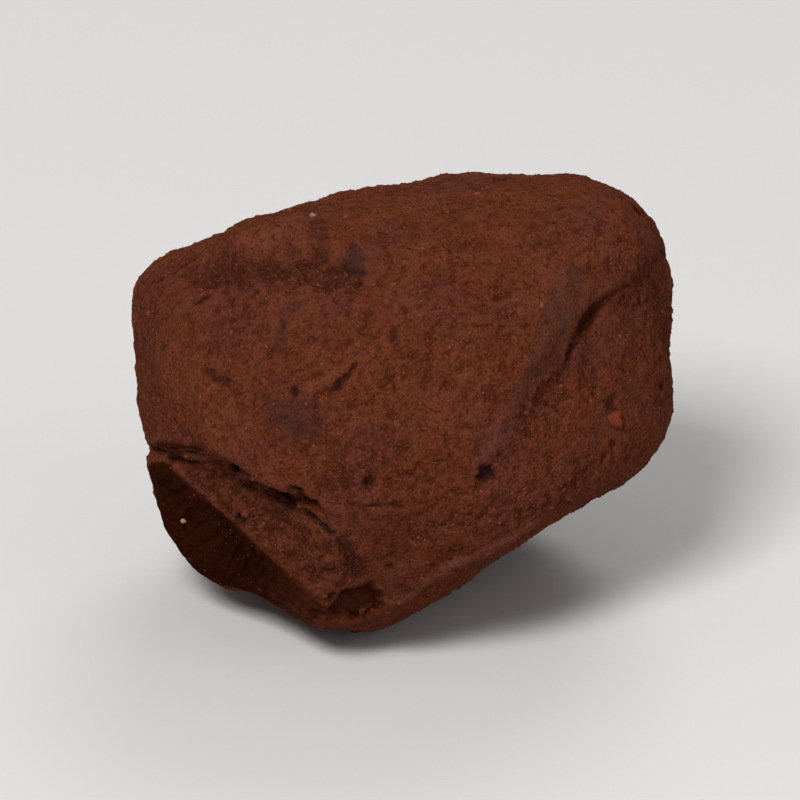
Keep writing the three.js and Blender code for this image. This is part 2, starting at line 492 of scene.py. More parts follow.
def baked(source: bpy.types.Object, name: str) -> bpy.types.Object:
    """Turns an object and its modifiers into a plain mesh.

    Args:
        source: The object, which is removed.
        name: The new object's name.

    Returns:
        An object with the resulting mesh and no modifier.
    """
    graph = bpy.context.evaluated_depsgraph_get()
    mesh = bpy.data.meshes.new_from_object(
        source.evaluated_get(graph), preserve_all_data_layers=True, depsgraph=graph
    )
    mesh.name = name
    bpy.data.objects.remove(source)
    return placed(mesh, name)


def search_tree(mesh: bpy.types.Mesh) -> BVHTree:
    """Makes a search tree over a mesh.

    Args:
        mesh: The mesh.

    Returns:
        The tree.
    """
    sheet = bmesh.new()
    sheet.from_mesh(mesh)
    made = BVHTree.FromBMesh(sheet)
    sheet.free()
    return made


# ---------------------------------------------------------------- the fine mesh


def smooth_step(value: Array, low: float, high: float) -> Array:
    """Rises smoothly from 0 at low to 1 at high."""
    share = np.clip((value - low) / (high - low), 0.0, 1.0)
    return share * share * (3.0 - 2.0 * share)


def toward(bearing: float, height: float) -> Array:
    """Unit vector towards a compass bearing (0 = +X, 90 = +Y) and a height angle, in degrees."""
    b, h = math.radians(bearing), math.radians(height)
    return np.array([math.cos(h) * math.cos(b), math.cos(h) * math.sin(b), math.sin(h)])


@dataclass(frozen=True)
class Unevenness:
    """Smooth noise from about -1 to 1.

    Its size is that of its features in millimetres, its octaves are the finer layers in it, and
    its shift says where it is read, so that no two are alike.
    """

    size: float
    octaves: int
    shift: float

    def at(self, points: Array) -> Array:
        """Reads the noise.

        Args:
            points: The points, in metres.

        Returns:
            A number for each point.
        """
        scaled = points / (self.size * MM) + self.shift
        if self.octaves == 1:
            return np.array([noise.noise(place) for place in scaled])
        return np.array([noise.fractal(place, 1.0, 2.0, self.octaves) for place in scaled])


FURROW_EDGE = Unevenness(0.7, 1, 7.1)
FURROW_DASHES = Unevenness(0.9, 1, 3.3)
PIT_EDGE = Unevenness(0.55, 2, 1.7)
PATCH_EDGE = Unevenness(1.1, 3, 5.5)
AREA_EDGE = Unevenness(1.2, 2, 8.0)
BROKEN_EDGE = Unevenness(1.4, 3, 11.0)
TORN_LUMPS = Unevenness(1.2, 3, 9.0)
DRAG_FAN = Unevenness(1.6, 2, 6.0)
DRAG_MARKS = Unevenness(0.5, 3, 2.0)
GRITTY_PLACES = Unevenness(5.0, 2, 4.0)


class Form:
    """The fine mesh while it is worked: its points, their normals and what each one carries."""

    def __init__(self, mesh: bpy.types.Mesh) -> None:
        """Reads a mesh's points and edges.

        Args:
            mesh: The mesh, which is changed in place.
        """
        self.mesh = mesh
        self.points = np.empty(len(mesh.vertices) * 3)
        mesh.vertices.foreach_get("co", self.points)
        self.points = self.points.reshape(-1, 3)
        edges = np.empty(len(mesh.edges) * 2, dtype=np.int64)
        mesh.edges.foreach_get("vertices", edges)
        self.edges = edges.reshape(-1, 2)
        self.valence = np.bincount(self.edges.ravel(), minlength=len(self.points)).astype(float)
        self.marks: dict[Zone, Array] = {}

    def blank(self) -> Array:
        """Returns a zero for each point."""
        return np.zeros(len(self.points))

    def mean_of_neighbours(self, values: Array) -> Array:
        """Averages over neighbours.

        Args:
            values: A number or a vector for each point.

        Returns:
            For each point, the mean of its neighbours' values.
        """
        first, second = self.edges.T
        columns = values if values.ndim == 2 else values[:, None]
        total = np.empty_like(columns)
        for axis in range(columns.shape[1]):
            column = columns[:, axis]
            total[:, axis] = np.bincount(first, column[second], len(column))
            total[:, axis] += np.bincount(second, column[first], len(column))
        mean = total / self.valence[:, None]
        return mean if values.ndim == 2 else mean[:, 0]

    def blurred(self, values: Array, rounds: int, share: Array | float = 1.0) -> Array:
        """Blurs values over the surface.

        Args:
            values: A number or a vector for each point.
            rounds: How often each point moves towards the mean of its neighbours.
            share: How far it moves each time, which may differ from point to point.

        Returns:
            The blurred values.
        """
        if isinstance(share, np.ndarray) and values.ndim == 2:
            share = share[:, None]
        for _ in range(rounds):
            values = values + (self.mean_of_neighbours(values) - values) * share
        return values

    def normals(self) -> Array:
        """Works out the normals.

        Returns:
            A unit vector for each point.
        """
        self.write()
        found = np.empty(len(self.points) * 3)
        self.mesh.vertices.foreach_get("normal", found)
        return found.reshape(-1, 3)

    def raise_by(self, height: Array) -> None:
        """Moves each point along its normal."""
        self.points = self.points + self.normals() * height[:, None]

    def write(self) -> None:
        """Puts the points and what they carry into the mesh."""
        self.mesh.vertices.foreach_set("co", self.points.ravel())
        self.mesh.update()
        for name, values in self.marks.items():
            layer = self.mesh.attributes.get(name.value)
            layer = layer or self.mesh.attributes.new(name.value, "FLOAT", "POINT")
            layer.data.foreach_set("value", values.astype(np.float32))

    def mark(self, name: Zone, values: Array) -> None:
        """Raises what the points carry under a name to at least these values."""
        self.marks[name] = np.clip(np.maximum(self.marks.get(name, 0.0), values), 0.0, 1.0)


@dataclass(frozen=True)
class View:
    """Spots on one side of the truffle, as an eye at the camera's height and distance sees them.

    A spot is (across, up) in millimetres from the ball's centre, square to the line of sight. The
    turn is the eye's, in degrees about the upright axis from the front towards +X.
    """

    turn: float = 0.0
    height: float = CAMERA_HEIGHT

    def axes(self) -> tuple[Array, Array, Array]:
        """Works out how the eye stands.

        Returns:
            The directions across, up and towards the eye.
        """
        t, h = math.radians(self.turn), math.radians(self.height)
        across = np.array([math.cos(t), math.sin(t), 0.0])
        near = np.array([math.sin(t) * math.cos(h), -math.cos(t) * math.cos(h), math.sin(h)])
        return across, np.cross(near, across), near

    def seen(self, points: Array) -> tuple[Array, Array, Array]:
        """Finds where points are seen.

        Args:
            points: The points, in metres.

        Returns:
            Their places across and up and how near they are, in millimetres.
        """
        across, up, near = ((points - CENTRE) / MM @ axis for axis in self.axes())
        shrink = 1.0 / (1.0 - near * MM / CAMERA_DISTANCE)
        return across * shrink, up * shrink, near

    def land(self, tree: BVHTree, spot: Spot) -> Array:
        """Follows the line of sight through a spot to the surface.

        Args:
            tree: The surface's search tree.
            spot: The spot.

        Returns:
            The place on the surface, in metres.
        """
        across, up, near = self.axes()
        eye = np.array(CENTRE) + near * CAMERA_DISTANCE
        aim = np.array(CENTRE) + (across * spot[0] + up * spot[1]) * MM
        hit = tree.ray_cast(Vector(eye), Vector(aim - eye).normalized())[0]
        if hit is None:
            raise ValueError(f"the spot {spot} seen from {self} misses the truffle")
        return np.array(hit)

    def landed(self, tree: BVHTree, path: Sequence[Spot]) -> Array:
        """Returns where the lines of sight through a path's spots meet the surface."""
        return np.array([self.land(tree, spot) for spot in path])

    def stretched(self, points: Array, place: Array, turn: float, stretch: float) -> Array:
        """Returns the points' distances to a place, shortened along one direction.

        Args:
            points: The points, in metres.
            place: The place, in metres.
            turn: The direction's slope on this side, in degrees.
            stretch: How much further things reach in that direction.

        Returns:
            The distances, in millimetres.
        """
        across, up, _ = self.axes()
        long = across * math.cos(math.radians(turn)) + up * math.sin(math.radians(turn))
        offset = (points - place) / MM
        lengthways = offset @ long
        sideways = np.linalg.norm(offset - lengthways[:, None] * long, axis=1)
        return np.hypot(lengthways / stretch, sideways)


def along_path(points: Array, path: Array) -> tuple[Array, Array]:
    """Measures points against a line of straight stretches.

    Args:
        points: The points, in metres.
        path: The line's corners, in metres.

    Returns:
        Each point's distance to the line, in metres, and its share of the way along it.
    """
    lengths = np.linalg.norm(np.diff(path, axis=0), axis=1)
    starts = np.concatenate([[0.0], np.cumsum(lengths)])
    best = np.full(len(points), np.inf)
    share = np.zeros(len(points))
    for i, length in enumerate(lengths):
        step = path[i + 1] - path[i]
        t = np.clip((points - path[i]) @ step / length**2, 0.0, 1.0)
        distance = np.linalg.norm(points - path[i] - t[:, None] * step, axis=1)
        nearer = distance < best
        best[nearer] = distance[nearer]
        share[nearer] = (starts[i] + t[nearer] * length) / starts[-1]
    return best, share


def inside(across: Array, up: Array, outline: Sequence[Spot], soft: float) -> Array:
    """Tells which points an outline encloses.

    Args:
        across: The points' places across.
        up: Their places up.
        outline: The outline's corners.
        soft: How wide its soft edge is.

    Returns:
        From 0 outside to 1 inside, for each point.
    """
    corners = np.array(outline)
    odd = np.zeros(len(across), dtype=bool)
    nearest = np.full(len(across), np.inf)
    flat = np.stack([across, up], axis=1)
    for a, b in zip(corners, np.roll(corners, -1, axis=0)):
        crosses = (a[1] > up) != (b[1] > up)
        rise = b[1] - a[1] or HARDLY_ANY
        odd ^= crosses & (across < (b[0] - a[0]) * (up - a[1]) / rise + a[0])
        step = b - a
        t = np.clip((flat - a) @ step / (step @ step), 0.0, 1.0)
        nearest = np.minimum(nearest, np.linalg.norm(flat - a - t[:, None] * step, axis=1))
    return smooth_step(np.where(odd, nearest, -nearest), -soft / 2, soft / 2)


# ---------------------------------------------------------------- small relief, listed one by one


# How far each kind of mark is worked out: in widths, but a pit in half widths.
FURROW_REACH = 3.0
PIT_REACH = 3.0
PATCH_REACH = 2.0

# How much the noise strays each kind's edge, as a share of its width or softness.
FURROW_STRAYS = 0.4
PIT_STRAYS = 0.45
PATCH_STRAYS = 0.35
AREA_STRAYS = 0.7

# Where things set in and where they are full: the dashes of a broken furrow, the bare ganache
# at its foot and in a pit, a patch's fading edge, and the bits that a patchy one keeps.
DASHES = (-0.5, 0.3)
FURROW_FOOT = (0.3, 0.85)
PIT_FLOOR = (0.55, 1.1)
PATCH_EDGE_FADE = (0.45, 1.5)
PATCH_BITS = (-0.5, 0.4)

@dataclass(frozen=True)
class Furrow:
    """A crack, furrow or scratch along a line of spots; sizes in millimetres."""

    name: str
    path: tuple[Spot, ...]
    width: float
    depth: float
    bare: float = 1.0
    fade: float = 0.25
    broken_up: float = 0.0

    def work(self, form: Form, tree: BVHTree, view: View) -> Array:
        """Marks the furrow's dark foot: bare ganache, and painted shade beside the ridge, squiggle
        and lip.

        Args:
            form: The mesh while it is worked.
            tree: The search tree over its surface.
            view: The side that the spots are on.

        Returns:
            How much each point rises, in metres.
        """
        distance, share = along_path(form.points, view.landed(tree, self.path))
        near = distance < FURROW_REACH * self.width * MM
        height, bare = form.blank(), form.blank()
        wobble = FURROW_EDGE.at(form.points[near])
        gap = distance[near] / (self.width / 2 * MM) * (1.0 + FURROW_STRAYS * wobble)
        ends = smooth_step(np.minimum(share[near], 1.0 - share[near]), -0.01, self.fade)
        dashes = smooth_step(FURROW_DASHES.at(form.points[near]), *DASHES)
        strength = np.exp(-(gap**2)) * ends * (1.0 - self.broken_up * (1.0 - dashes))
        height[near] = -self.depth * MM * strength
        bare[near] = self.bare * smooth_step(strength, *FURROW_FOOT)
        form.mark(Zone.BARE_AND_SHADE, bare)
        return height


@dataclass(frozen=True)
class Pit:
    """A small ragged hole where a piece of the coat is missing; sizes in millimetres."""

    name: str
    spot: Spot
    width: float
    depth: float
    bare: float = 0.5
    stretch: float = 1.0
    turn: float = 0.0

    def work(self, form: Form, tree: BVHTree, view: View) -> Array:
        """Marks the bare ganache in the pit.

        Args:
            form: The mesh while it is worked.
            tree: The search tree over its surface.
            view: The side that the spots are on.

        Returns:
            How much each point rises, in metres.
        """
        place = view.land(tree, self.spot)
        reach = view.stretched(form.points, place, self.turn, self.stretch) / (self.width / 2)
        near = reach < PIT_REACH
        reach = reach[near] * (1.0 + PIT_STRAYS * PIT_EDGE.at(form.points[near]))
        height, bare = form.blank(), form.blank()
        height[near] = -self.depth * MM * np.exp(-(np.abs(reach) ** 3))
        bare[near] = self.bare * (1.0 - smooth_step(reach, *PIT_FLOOR))
        form.mark(Zone.BARE_AND_SHADE, bare)
        return height


@dataclass(frozen=True)
class Patch:
    """A patch or band whose coat differs, such as rubbed or gritty, or painted shade or highlight;
    sizes in millimetres.
    """

    name: str
    zone: Zone
    path: tuple[Spot, ...]
    width: float
    strength: float = 1.0
    rise: float = 0.0
    patchy: float = 0.5

    def work(self, form: Form, tree: BVHTree, view: View) -> Array:
        """Marks the patch.

        Args:
            form: The mesh while it is worked.
            tree: The search tree over its surface.
            view: The side that the spots are on.

        Returns:
            How much each point rises, in metres.
        """
        path = view.landed(tree, self.path)
        distance = np.linalg.norm(form.points - path[0], axis=1)
        if len(path) > 1:
            distance, _ = along_path(form.points, path)
        near = distance < PATCH_REACH * self.width * MM
        height, mark = form.blank(), form.blank()
        ragged = PATCH_EDGE.at(form.points[near])
        gap = distance[near] / (self.width / 2 * MM) * (1.0 + PATCH_STRAYS * ragged)
        keep = 1.0 - self.patchy * (1.0 - smooth_step(ragged, *PATCH_BITS))
        mark[near] = self.strength * (1.0 - smooth_step(gap, *PATCH_EDGE_FADE)) * keep
        height[near] = self.rise * MM * np.exp(-(gap**2))
        form.mark(self.zone, mark)
        return height


@dataclass(frozen=True)
class Swelling:
    """A soft swelling, or a hollow where its rise is negative; sizes in millimetres."""

    name: str
    spot: Spot
    width: float
    rise: float
    stretch: float = 1.0
    turn: float = 0.0

    def work(self, form: Form, tree: BVHTree, view: View) -> Array:
        """Returns how much each point rises."""
        reach = view.stretched(form.points, view.land(tree, self.spot), self.turn, self.stretch)
        return self.rise * MM * np.exp(-((reach / (self.width / 2)) ** 2))


@dataclass(frozen=True)
class Area:
    """An outlined area whose coat or height differs, or that is darkened as painted shade; sizes
    in millimetres.
    """

    name: str
    zone: Zone
    outline: tuple[Spot, ...]
    strength: float = 1.0
    rise: float = 0.0
    soft: float = 0.6

    def work(self, form: Form, tree: BVHTree, view: View) -> Array:
        """Marks the area.

        Args:
            form: The mesh while it is worked.
            tree: The search tree over its surface; not used.
            view: The side that the spots are on.

        Returns:
            How much each point rises, in metres.
        """
        across, up, near = view.seen(form.points)
        ragged = AREA_EDGE.at(form.points) * self.soft * AREA_STRAYS
        share = inside(across + ragged, up - ragged, self.outline, self.soft) * (near > 0)
        form.mark(self.zone, self.strength * share)
        return self.rise * MM * share


Mark = Furrow | Pit | Patch | Swelling | Area


@dataclass(frozen=True)
class WorkedSide:
    """One side of the truffle with the marks that it bears."""

    view: View
    marks: tuple[Mark, ...]


CRACK = (
    (-15.4, -3.3), (-13.6, -3.4), (-12.0, -3.7), (-10.2, -4.3), (-8.6, -5.0), (-6.8, -5.6),
    (-5.6, -6.3),
)
CRACK_END = ((-6.5, -6.7), (-5.8, -7.1), (-5.4, -7.5), (-4.5, -8.3), (-3.9, -8.6))
GROOVE = ((-4.2, -8.5), (-3.5, -9.3), (-3, -10.3), (-2.5, -11.6))
RIDGE = ((14.2, 8.4), (12.8, 6.9), (11.2, 5.2), (10.1, 3.3), (8.9, 1.0), (7.0, -1.4), (5.8, -3.1))
SHADE_LINE = (
    (14, 7.1), (13, 6.5), (12.4, 5.8), (11.9, 5), (11.3, 3.9), (10.8, 2.9), (10.3, 1.7),
    (9.7, 0.6),
)
RUBBED_BAND = (
    (10.8, 7.6), (10.2, 5.8), (9.5, 3.9), (8.8, 2.3), (7.8, 0.8), (6.8, -0.6), (6.1, -2.1),
    (5.6, -3.3),
)
PALE_CREST = ((11.9, 7.2), (11, 5.2), (10.2, 3.3), (9.3, 1.9), (8.3, 0.6))
LOWER_CREST = (
    (-0.4, -12.8), (0.6, -12.3), (1.9, -11.3), (3.2, -10.4), (4.6, -9.9), (6.2, -9.1),
    (8.2, -7.9),
)
SQUIGGLE = ((-6.4, 0.4), (-5.6, 0.8), (-4.6, 1.1), (-3.8, 1.8))
LIP_EDGE = (
    (-14.2, -3.9), (-13.8, -4.3), (-13.0, -5.4), (-12.0, -6.6), (-10.9, -8.0), (-9.9, -9.0),
    (-8.9, -9.6), (-7.8, -10.2), (-6.8, -10.9), (-5.8, -11.8), (-5.2, -12.6), (-4.5, -13.2),
    (-3.9, -12.8), (-3.1, -12.2), (-2.3, -11.8), (-1.8, -11.6),
)
LIP_FACE = (
    (-14.4, -3.5), (-12.0, -3.8), (-10.2, -4.4), (-8.4, -5.2), (-6.8, -5.9), (-5.4, -7.2),
    (-4.1, -8.4), (-3.1, -9.7), (-2.4, -10.9), *reversed(LIP_EDGE),
)
NOTCH = (
    (-4.4, -13.2), (-3.9, -12.8), (-3.1, -12.2), (-2.3, -11.8), (-1.7, -11.7), (-1.3, -12.4),
    (-1.4, -13.2), (-2.1, -13.8), (-3.3, -14), (-4.5, -14), (-5.7, -13.7),
)
PLUM_PATCH = (
    (-8.3, -0.2), (-7.2, 0.7), (-6, 0.2), (-5.2, -0.6), (-5.4, -1.9), (-6.4, -2.5), (-7.8, -2.1),
    (-8.5, -1.2),
)
GREY_PATCH = ((-3.8, 9.5), (-2.9, 9.8), (-2.1, 9.1), (-2.2, 8.1), (-3.3, 7.7), (-3.9, 8.5))

# What a mark's numbers say, in their order: Furrow's and Pit's are width, depth and how bare the
# ganache lies there, then Furrow's fade and broken_up, or Pit's stretch and turn. Patch's are
# width, strength, rise and patchy, Swelling's width, rise, stretch and turn, and Area's
# strength, rise and soft.

FRONT = WorkedSide(
    View(),
    (
        Furrow("crack pressed nearly shut", CRACK, 1.2, -0.2, 0.0, 0.1),
        Furrow("slit at the crack's left", ((-14.8, -3.6), (-13.8, -3.7), (-12.7, -3.9)),
               0.45, 0.3, 1.0, 0.12),
        Pit("hole in the crack", (-10.3, -4.2), 0.65, 0.7, 1.0),
        Pit("brown spot under the hole", (-10.5, -4.8), 0.5, 0.2, 0.5),
        Furrow("crescent", ((-10.2, -5.1), (-9.9, -5.4), (-9.5, -5.5), (-9.2, -5.2)),
               0.4, 0.3, 0.8, 0.15),
        Pit("spot beside the crescent", (-8.7, -4.8), 0.4, 0.2, 0.5),
        Patch("dark crumble on the lip", Zone.BARE_AND_SHADE, ((-8.9, -5.5), (-7.8, -5.9), (-6.9, -6.5)),
              1.0, 0.6, -0.2, 0.7),
        Furrow("open end of the crack", ((-7.2, -5.5), (-6.4, -5.8), (-5.7, -6.2), (-5.0, -6.5)),
               0.62, 0.6, 1.0, 0.15),
        Furrow("rim under the open end", ((-6.2, -6.5), (-5.5, -6.9), (-4.9, -7.4)),
               0.5, -0.15, 0.0, 0.2),
        Furrow("crack's thin end", CRACK_END, 0.45, 0.4, 0.9, 0.12),
        # A real groove whose darkened foot is painted shade of the step beside the lip.
        Furrow("groove with painted shade beside the lip", GROOVE, 1.3, 0.32, 0.24, 0.2),
        # A shallow notch, darkened with the broken side's colour as painted shade.
        Area("notch with painted shade at the lip's end", Zone.SIDE, NOTCH, 0.7, -0.45, 0.7),
        Pit("pit on the lip", (-10.1, -7.5), 0.85, 0.45, 0.75),
        Furrow("nick on the lip", ((-5.1, -10.7), (-4.4, -10.8), (-4, -10.6)),
               0.35, 0.2, 0.6, 0.15),
        Furrow("second nick on the lip", ((-7.5, -9.5), (-7.1, -9.8), (-6.7, -9.8)),
               0.35, 0.2, 0.5, 0.15),
        Pit("pit under the middle", (-2.0, -5.2), 0.55, 0.35, 0.7, 1.6, 60),
        Patch("dim spot beside it", Zone.BARE_AND_SHADE, ((-3.4, -5.2),), 0.8, 0.4, -0.08, 0.3),
        Pit("spot over the lower crest", (-0.6, -10.5), 0.6, 0.15, 0.35),
        Furrow("level crack", ((-3.5, -6.5), (-2.3, -6.7), (-0.8, -6.6), (0.6, -6.7)),
               0.35, 0.18, 0.5, 0.15, 0.4),
        Furrow("shade under the ridge", SHADE_LINE, 0.9, 0.15, 0.2, 0.2),
        Furrow("darkest shade", ((12.6, 6.3), (12.2, 5.6), (11.7, 4.8), (11.3, 4.0)),
               1.15, 0.24, 0.5, 0.25),
        Furrow("lower shade", ((11.1, 3.7), (10.9, 3), (10.7, 2.2)), 0.6, 0.15, 0.4, 0.25),
        Swelling("dent beside the ridge", (11.7, 3.1), 2.8, -0.3, 1.6, 60),
        Furrow("trough beside the ridge", ((10.7, 2.0), (9.5, 0.2), (8.0, -1.5), (6.9, -3.0)),
               1.6, 0.22, 0.0, 0.3),
        Pit("pit by the ridge", (5.5, -4.65), 1.25, 0.5, 0.85, 1.15, 40),
        Pit("dot over the pit", (6.2, -3.4), 0.45, 0.2, 0.5, 1.4),
        Pit("shade over the crumb", (13.2, -0.3), 0.75, 0.15, 0.3, 1.5, 80),
        Pit("shade under the crumb", (13.4, -2.7), 0.8, 0.15, 0.3),
        Pit("low pit at the right", (12.8, -3.6), 0.6, 0.2, 0.4),
        Pit("pit at the upper left", (-12.6, 6.4), 1.0, 0.22, 0.45, 1.25, 20),
        Patch("dark blot on top", Zone.BARE_AND_SHADE, ((-5.2, 11.0), (-5.1, 10.1), (-5.0, 9.2)),
              1.4, 0.42, -0.12, 0.7),
        Pit("spot in the valley", (-2.7, 7.4), 0.55, 0.15, 0.5),
        Pit("spot at the upper right", (6.2, 6.5), 0.5, 0.15, 0.4, 1.6),
        Pit("spot near the ridge's top", (13.8, 10.1), 0.6, 0.15, 0.4),
        Pit("spot on the top edge", (10.1, 12.1), 0.6, 0.15, 0.4),
        Pit("small spot on the left", (-14.9, 3.3), 0.5, 0.1, 0.35, 1.5),
        Furrow("squiggle", SQUIGGLE, 0.8, -0.22, 0.0, 0.2),
        # Painted highlight along the raised squiggle's crest.
        Patch("painted highlight on the squiggle", Zone.PALE, SQUIGGLE, 0.8, 0.9, 0.0, 0.2),
        # Real grooves beside the raised squiggle, whose dark feet are painted shade.
        Furrow("scratch with painted shade beside the squiggle", ((-4.3, 0.4), (-3.8, 1.2), (-3.2, 1.7), (-2.7, 2.5)),
               0.46, 0.22, 0.7, 0.15, 0.3),
        Furrow("scratch with painted shade under the squiggle", ((-5.5, 0.9), (-5.1, 0.4), (-4.6, 0.7), (-4.3, 0.2)),
               0.36, 0.18, 0.55, 0.15, 0.3),
        Pit("dot beside the squiggle", (-6.6, 0.6), 0.55, 0.18, 0.5, 1.3, 70),
        Furrow("upright scratch", ((-6.8, 1.1), (-6.5, 0.1)), 0.55, 0.18, 0.6, 0.2),
        Furrow("faint upright mark", ((-0.5, 4.7), (-0.3, 3.7), (0, 2.8)), 0.7, 0.12, 0.32, 0.2),
        Furrow("left scuff", ((-12.7, 1.8), (-12.0, 1.7), (-11.4, 1.3), (-10.6, 1.1)),
               0.75, 0.14, 0.36, 0.2, 0.5),
        Furrow("valley under the top lump",
               ((-14.0, 7.4), (-10.3, 8.2), (-6.2, 8.3), (-1.4, 8.0)),
               2.6, 0.75, 0.0),
        # Painted shade in the valley under the top lump, in brown and bare tones.
        Patch("painted shade of the valley", Zone.TORN_AND_SHADE, ((-11.8, 8.0), (-6.2, 8.4), (-1.6, 8.1)),
              2.2, 0.75, 0.0, 0.4),
        Patch("painted shade at the valley's foot", Zone.BARE_AND_SHADE, ((-9.4, 8.1), (-6.2, 8.4), (-3.4, 8.1)),
              1.4, 0.16, 0.0, 0.6),
        # Painted shade of the lower lump over the crack.
        Patch("painted shade over the crack", Zone.TORN_AND_SHADE, ((-5.6, -2.8), (-2.6, -4.0)),
              3.6, 0.5, 0.0, 0.5),
        Swelling("top lump", (-7.6, 10.4), 4.4, 0.55, 1.6, 25),
        Swelling("left lump", (-12.8, 3.8), 4.4, 0.3, 1.3),
        Swelling("lower lump", (-3.0, -3.7), 3.4, 0.3, 1.4),
        Swelling("broken side's foot", (-12.3, -9.7), 6.8, 1.1, 1.4, -50),
        Patch("rubbed band's upper half", Zone.RUBBED, RUBBED_BAND[:4], 2.3, 0.88, 0.08, 0.4),
        Patch("rubbed band's lower half", Zone.RUBBED, RUBBED_BAND[2:], 1.5, 0.8, 0.15, 0.4),
        Patch("streak of thin coat", Zone.RUBBED,
              ((-6.4, 6.2), (-7.2, 5.2), (-7.6, 3.9), (-8.1, 2.9)),
              1.2, 0.65, -0.1, 0.4),
        Patch("dark of the streak", Zone.BARE_AND_SHADE, ((-6.6, 6.0), (-7.2, 5.2), (-7.6, 4.0)),
              0.8, 0.22, 0.0, 0.5),
        Area("plum patch", Zone.RUBBED, PLUM_PATCH, 0.5, 0.0, 1.6),
        Area("dark of the plum patch", Zone.BARE_AND_SHADE, PLUM_PATCH, 0.42, 0.0, 1.8),
        Area("grey patch on top", Zone.RUBBED, GREY_PATCH, 1.0, -0.15, 0.6),
        Area("dark of the grey patch", Zone.BARE_AND_SHADE, GREY_PATCH, 0.5, 0.0, 0.7),
        Patch("grey spot on top", Zone.RUBBED, ((-1.9, 10.1),), 0.9, 0.6),
        Patch("thin coat on the left", Zone.RUBBED, ((-13.6, 1), (-13, 0)), 1.8, 0.5, 0.0, 0.7),
        Patch("thin coat at the upper left", Zone.RUBBED, ((-13.8, 6.9), (-12.9, 5.5)),
              2.6, 0.45, 0.0, 0.9),
        # Painted highlights along the ridge's crest and the lower crest.
        Patch("painted highlight on the ridge's crest", Zone.PALE, PALE_CREST, 1.1, 0.9, 0.08, 0.3),
        Patch("painted highlight on the lower crest", Zone.PALE, LOWER_CREST, 1.0, 0.95, 0.25, 0.3),
        Patch("rubbed lower crest", Zone.RUBBED, LOWER_CREST, 1.2, 0.65, 0.0, 0.4),
        Patch("thin coat on the right", Zone.RUBBED, ((13.0, 4.2), (14.4, 0.8), (12.8, -3.0)),
              4.4, 0.46, 0.0, 0.7),
        # Painted highlights where the fold under the valley and the top lump face the light.
        Patch("painted highlight under the valley", Zone.PALE,
              ((-11.8, 7.2), (-9.5, 7.3), (-6.8, 7.2), (-4.1, 7)),
              1.1, 0.5, 0.12),
        Patch("painted highlight on the top lump", Zone.PALE, ((-9.5, 9.3), (-7.8, 10.7), (-6.6, 11.4)),
              2.6, 0.9, 0.0, 0.4),
        Patch("pale patch on the left", Zone.PALE, ((-14.5, 3.9), (-12.4, 3.5), (-12.6, -1.2)),
              3.0, 0.55, 0.0, 0.6),
        Patch("pale patch in the middle", Zone.PALE, ((2.9, 0.8), (4.5, -0.6), (3.1, -2.1)),
              3.2, 0.65, 0.0, 0.6),
        Patch("pale patch over the lip", Zone.PALE, ((-10.6, -1.4), (-9.4, -2.4)),
              2.6, 0.55, 0.0, 0.6),
        Patch("pale patch at the upper right", Zone.PALE, ((8.2, 6.4), (9.4, 8.6), (11.6, 9.7)),
              3.0, 0.55, 0.0, 0.6),
        Patch("grit at the top right", Zone.GRITTY, ((2.0, 8.9), (3.6, 8.4)), 3.4),
        Patch("grit in the valley", Zone.GRITTY, ((-7.4, 9.0), (-4.4, 8.6)), 2.4, 0.6),
        Patch("grit over the lower edge", Zone.GRITTY, ((0.6, -5.0), (3.4, -6.6), (7.4, -7.2)),
              4.2),
        Patch("grit at the lower right", Zone.GRITTY, ((10.6, -5.0), (13.6, -4.0)), 3.6),
        Patch("grit on the right", Zone.GRITTY, ((8.4, -1.4), (10.8, 0.2), (13.0, 1.2)), 3.0),
        Patch("grit in the middle", Zone.GRITTY, ((0.8, 5.0), (1.4, 3.6)), 3.4, 0.8),
    ),
)

BACK = WorkedSide(
    View(turn=180.0),
    (
        Furrow("long shallow crack", ((-6.0, 3.4), (-4.2, 2.4), (-2.4, 2.2), (-0.9, 1.2)),
               0.5, 0.3, 0.8, 0.2, 0.5),
        Furrow("short crack", ((6.4, -2.6), (7.6, -3.6), (8.1, -4.8)), 0.45, 0.25, 0.8, 0.2, 0.4),
        Pit("pit at the middle", (1.8, 4.8), 0.9, 0.5, stretch=1.3, turn=30),
        Pit("pit low at the left", (-8.4, -4.6), 0.8, 0.4, 0.5),
        Pit("pit at the right", (9.9, 3.1), 0.6, 0.3, 0.5, stretch=1.5, turn=-40),
        Pit("low pit", (2.6, -8.3), 0.7, 0.3),
        Swelling("back lump", (4.8, 0.6), 4.6, 0.35, stretch=1.4, turn=-20),
        Swelling("back hollow", (-3.4, -2.8), 4.0, -0.3, stretch=1.3, turn=30),
        Patch("rubbed crest", Zone.RUBBED, ((-10.2, 4.6), (-7.6, 5.6), (-4.6, 6.9)),
              1.6, 0.7, 0.08, 0.6),
        Patch("rubbed bulge", Zone.RUBBED, ((5.2, 0.8), (6.6, 1.6)), 2.6, 0.6, 0.0, 0.6),
        Patch("grit at the left", Zone.GRITTY, ((-8.6, -1.0), (-5.4, -5.6)), 4.4),
        Patch("grit at the right", Zone.GRITTY, ((7.6, 6.0), (10.6, -1.4)), 4.0),
        Patch("grit on top", Zone.GRITTY, ((-1.0, 9.0), (2.6, 8.2)), 4.2),
    ),
)

LEFT = WorkedSide(
    View(turn=-90.0),
    (
        Furrow("upright crack", ((1.6, 5.4), (0.9, 3.8), (1.2, 2.2), (0.4, 1.0)),
               0.45, 0.3, 0.8, 0.2, 0.5),
        Pit("pit high on the left", (-4.8, 6.0), 0.8, 0.4, stretch=1.3, turn=10),
        Pit("pit low on the left", (-6.2, -6.2), 0.8, 0.35),
        Swelling("left swelling", (-3.2, 0.6), 4.4, 0.3, stretch=1.3, turn=60),
        Patch("rubbed cheek", Zone.RUBBED, ((-4.4, 1.6), (-2.4, -0.4)), 2.6, 0.7, 0.0, 0.6),
        Patch("grit", Zone.GRITTY, ((3.6, 2.0), (-6.6, 3.4)), 3.6),
    ),
)

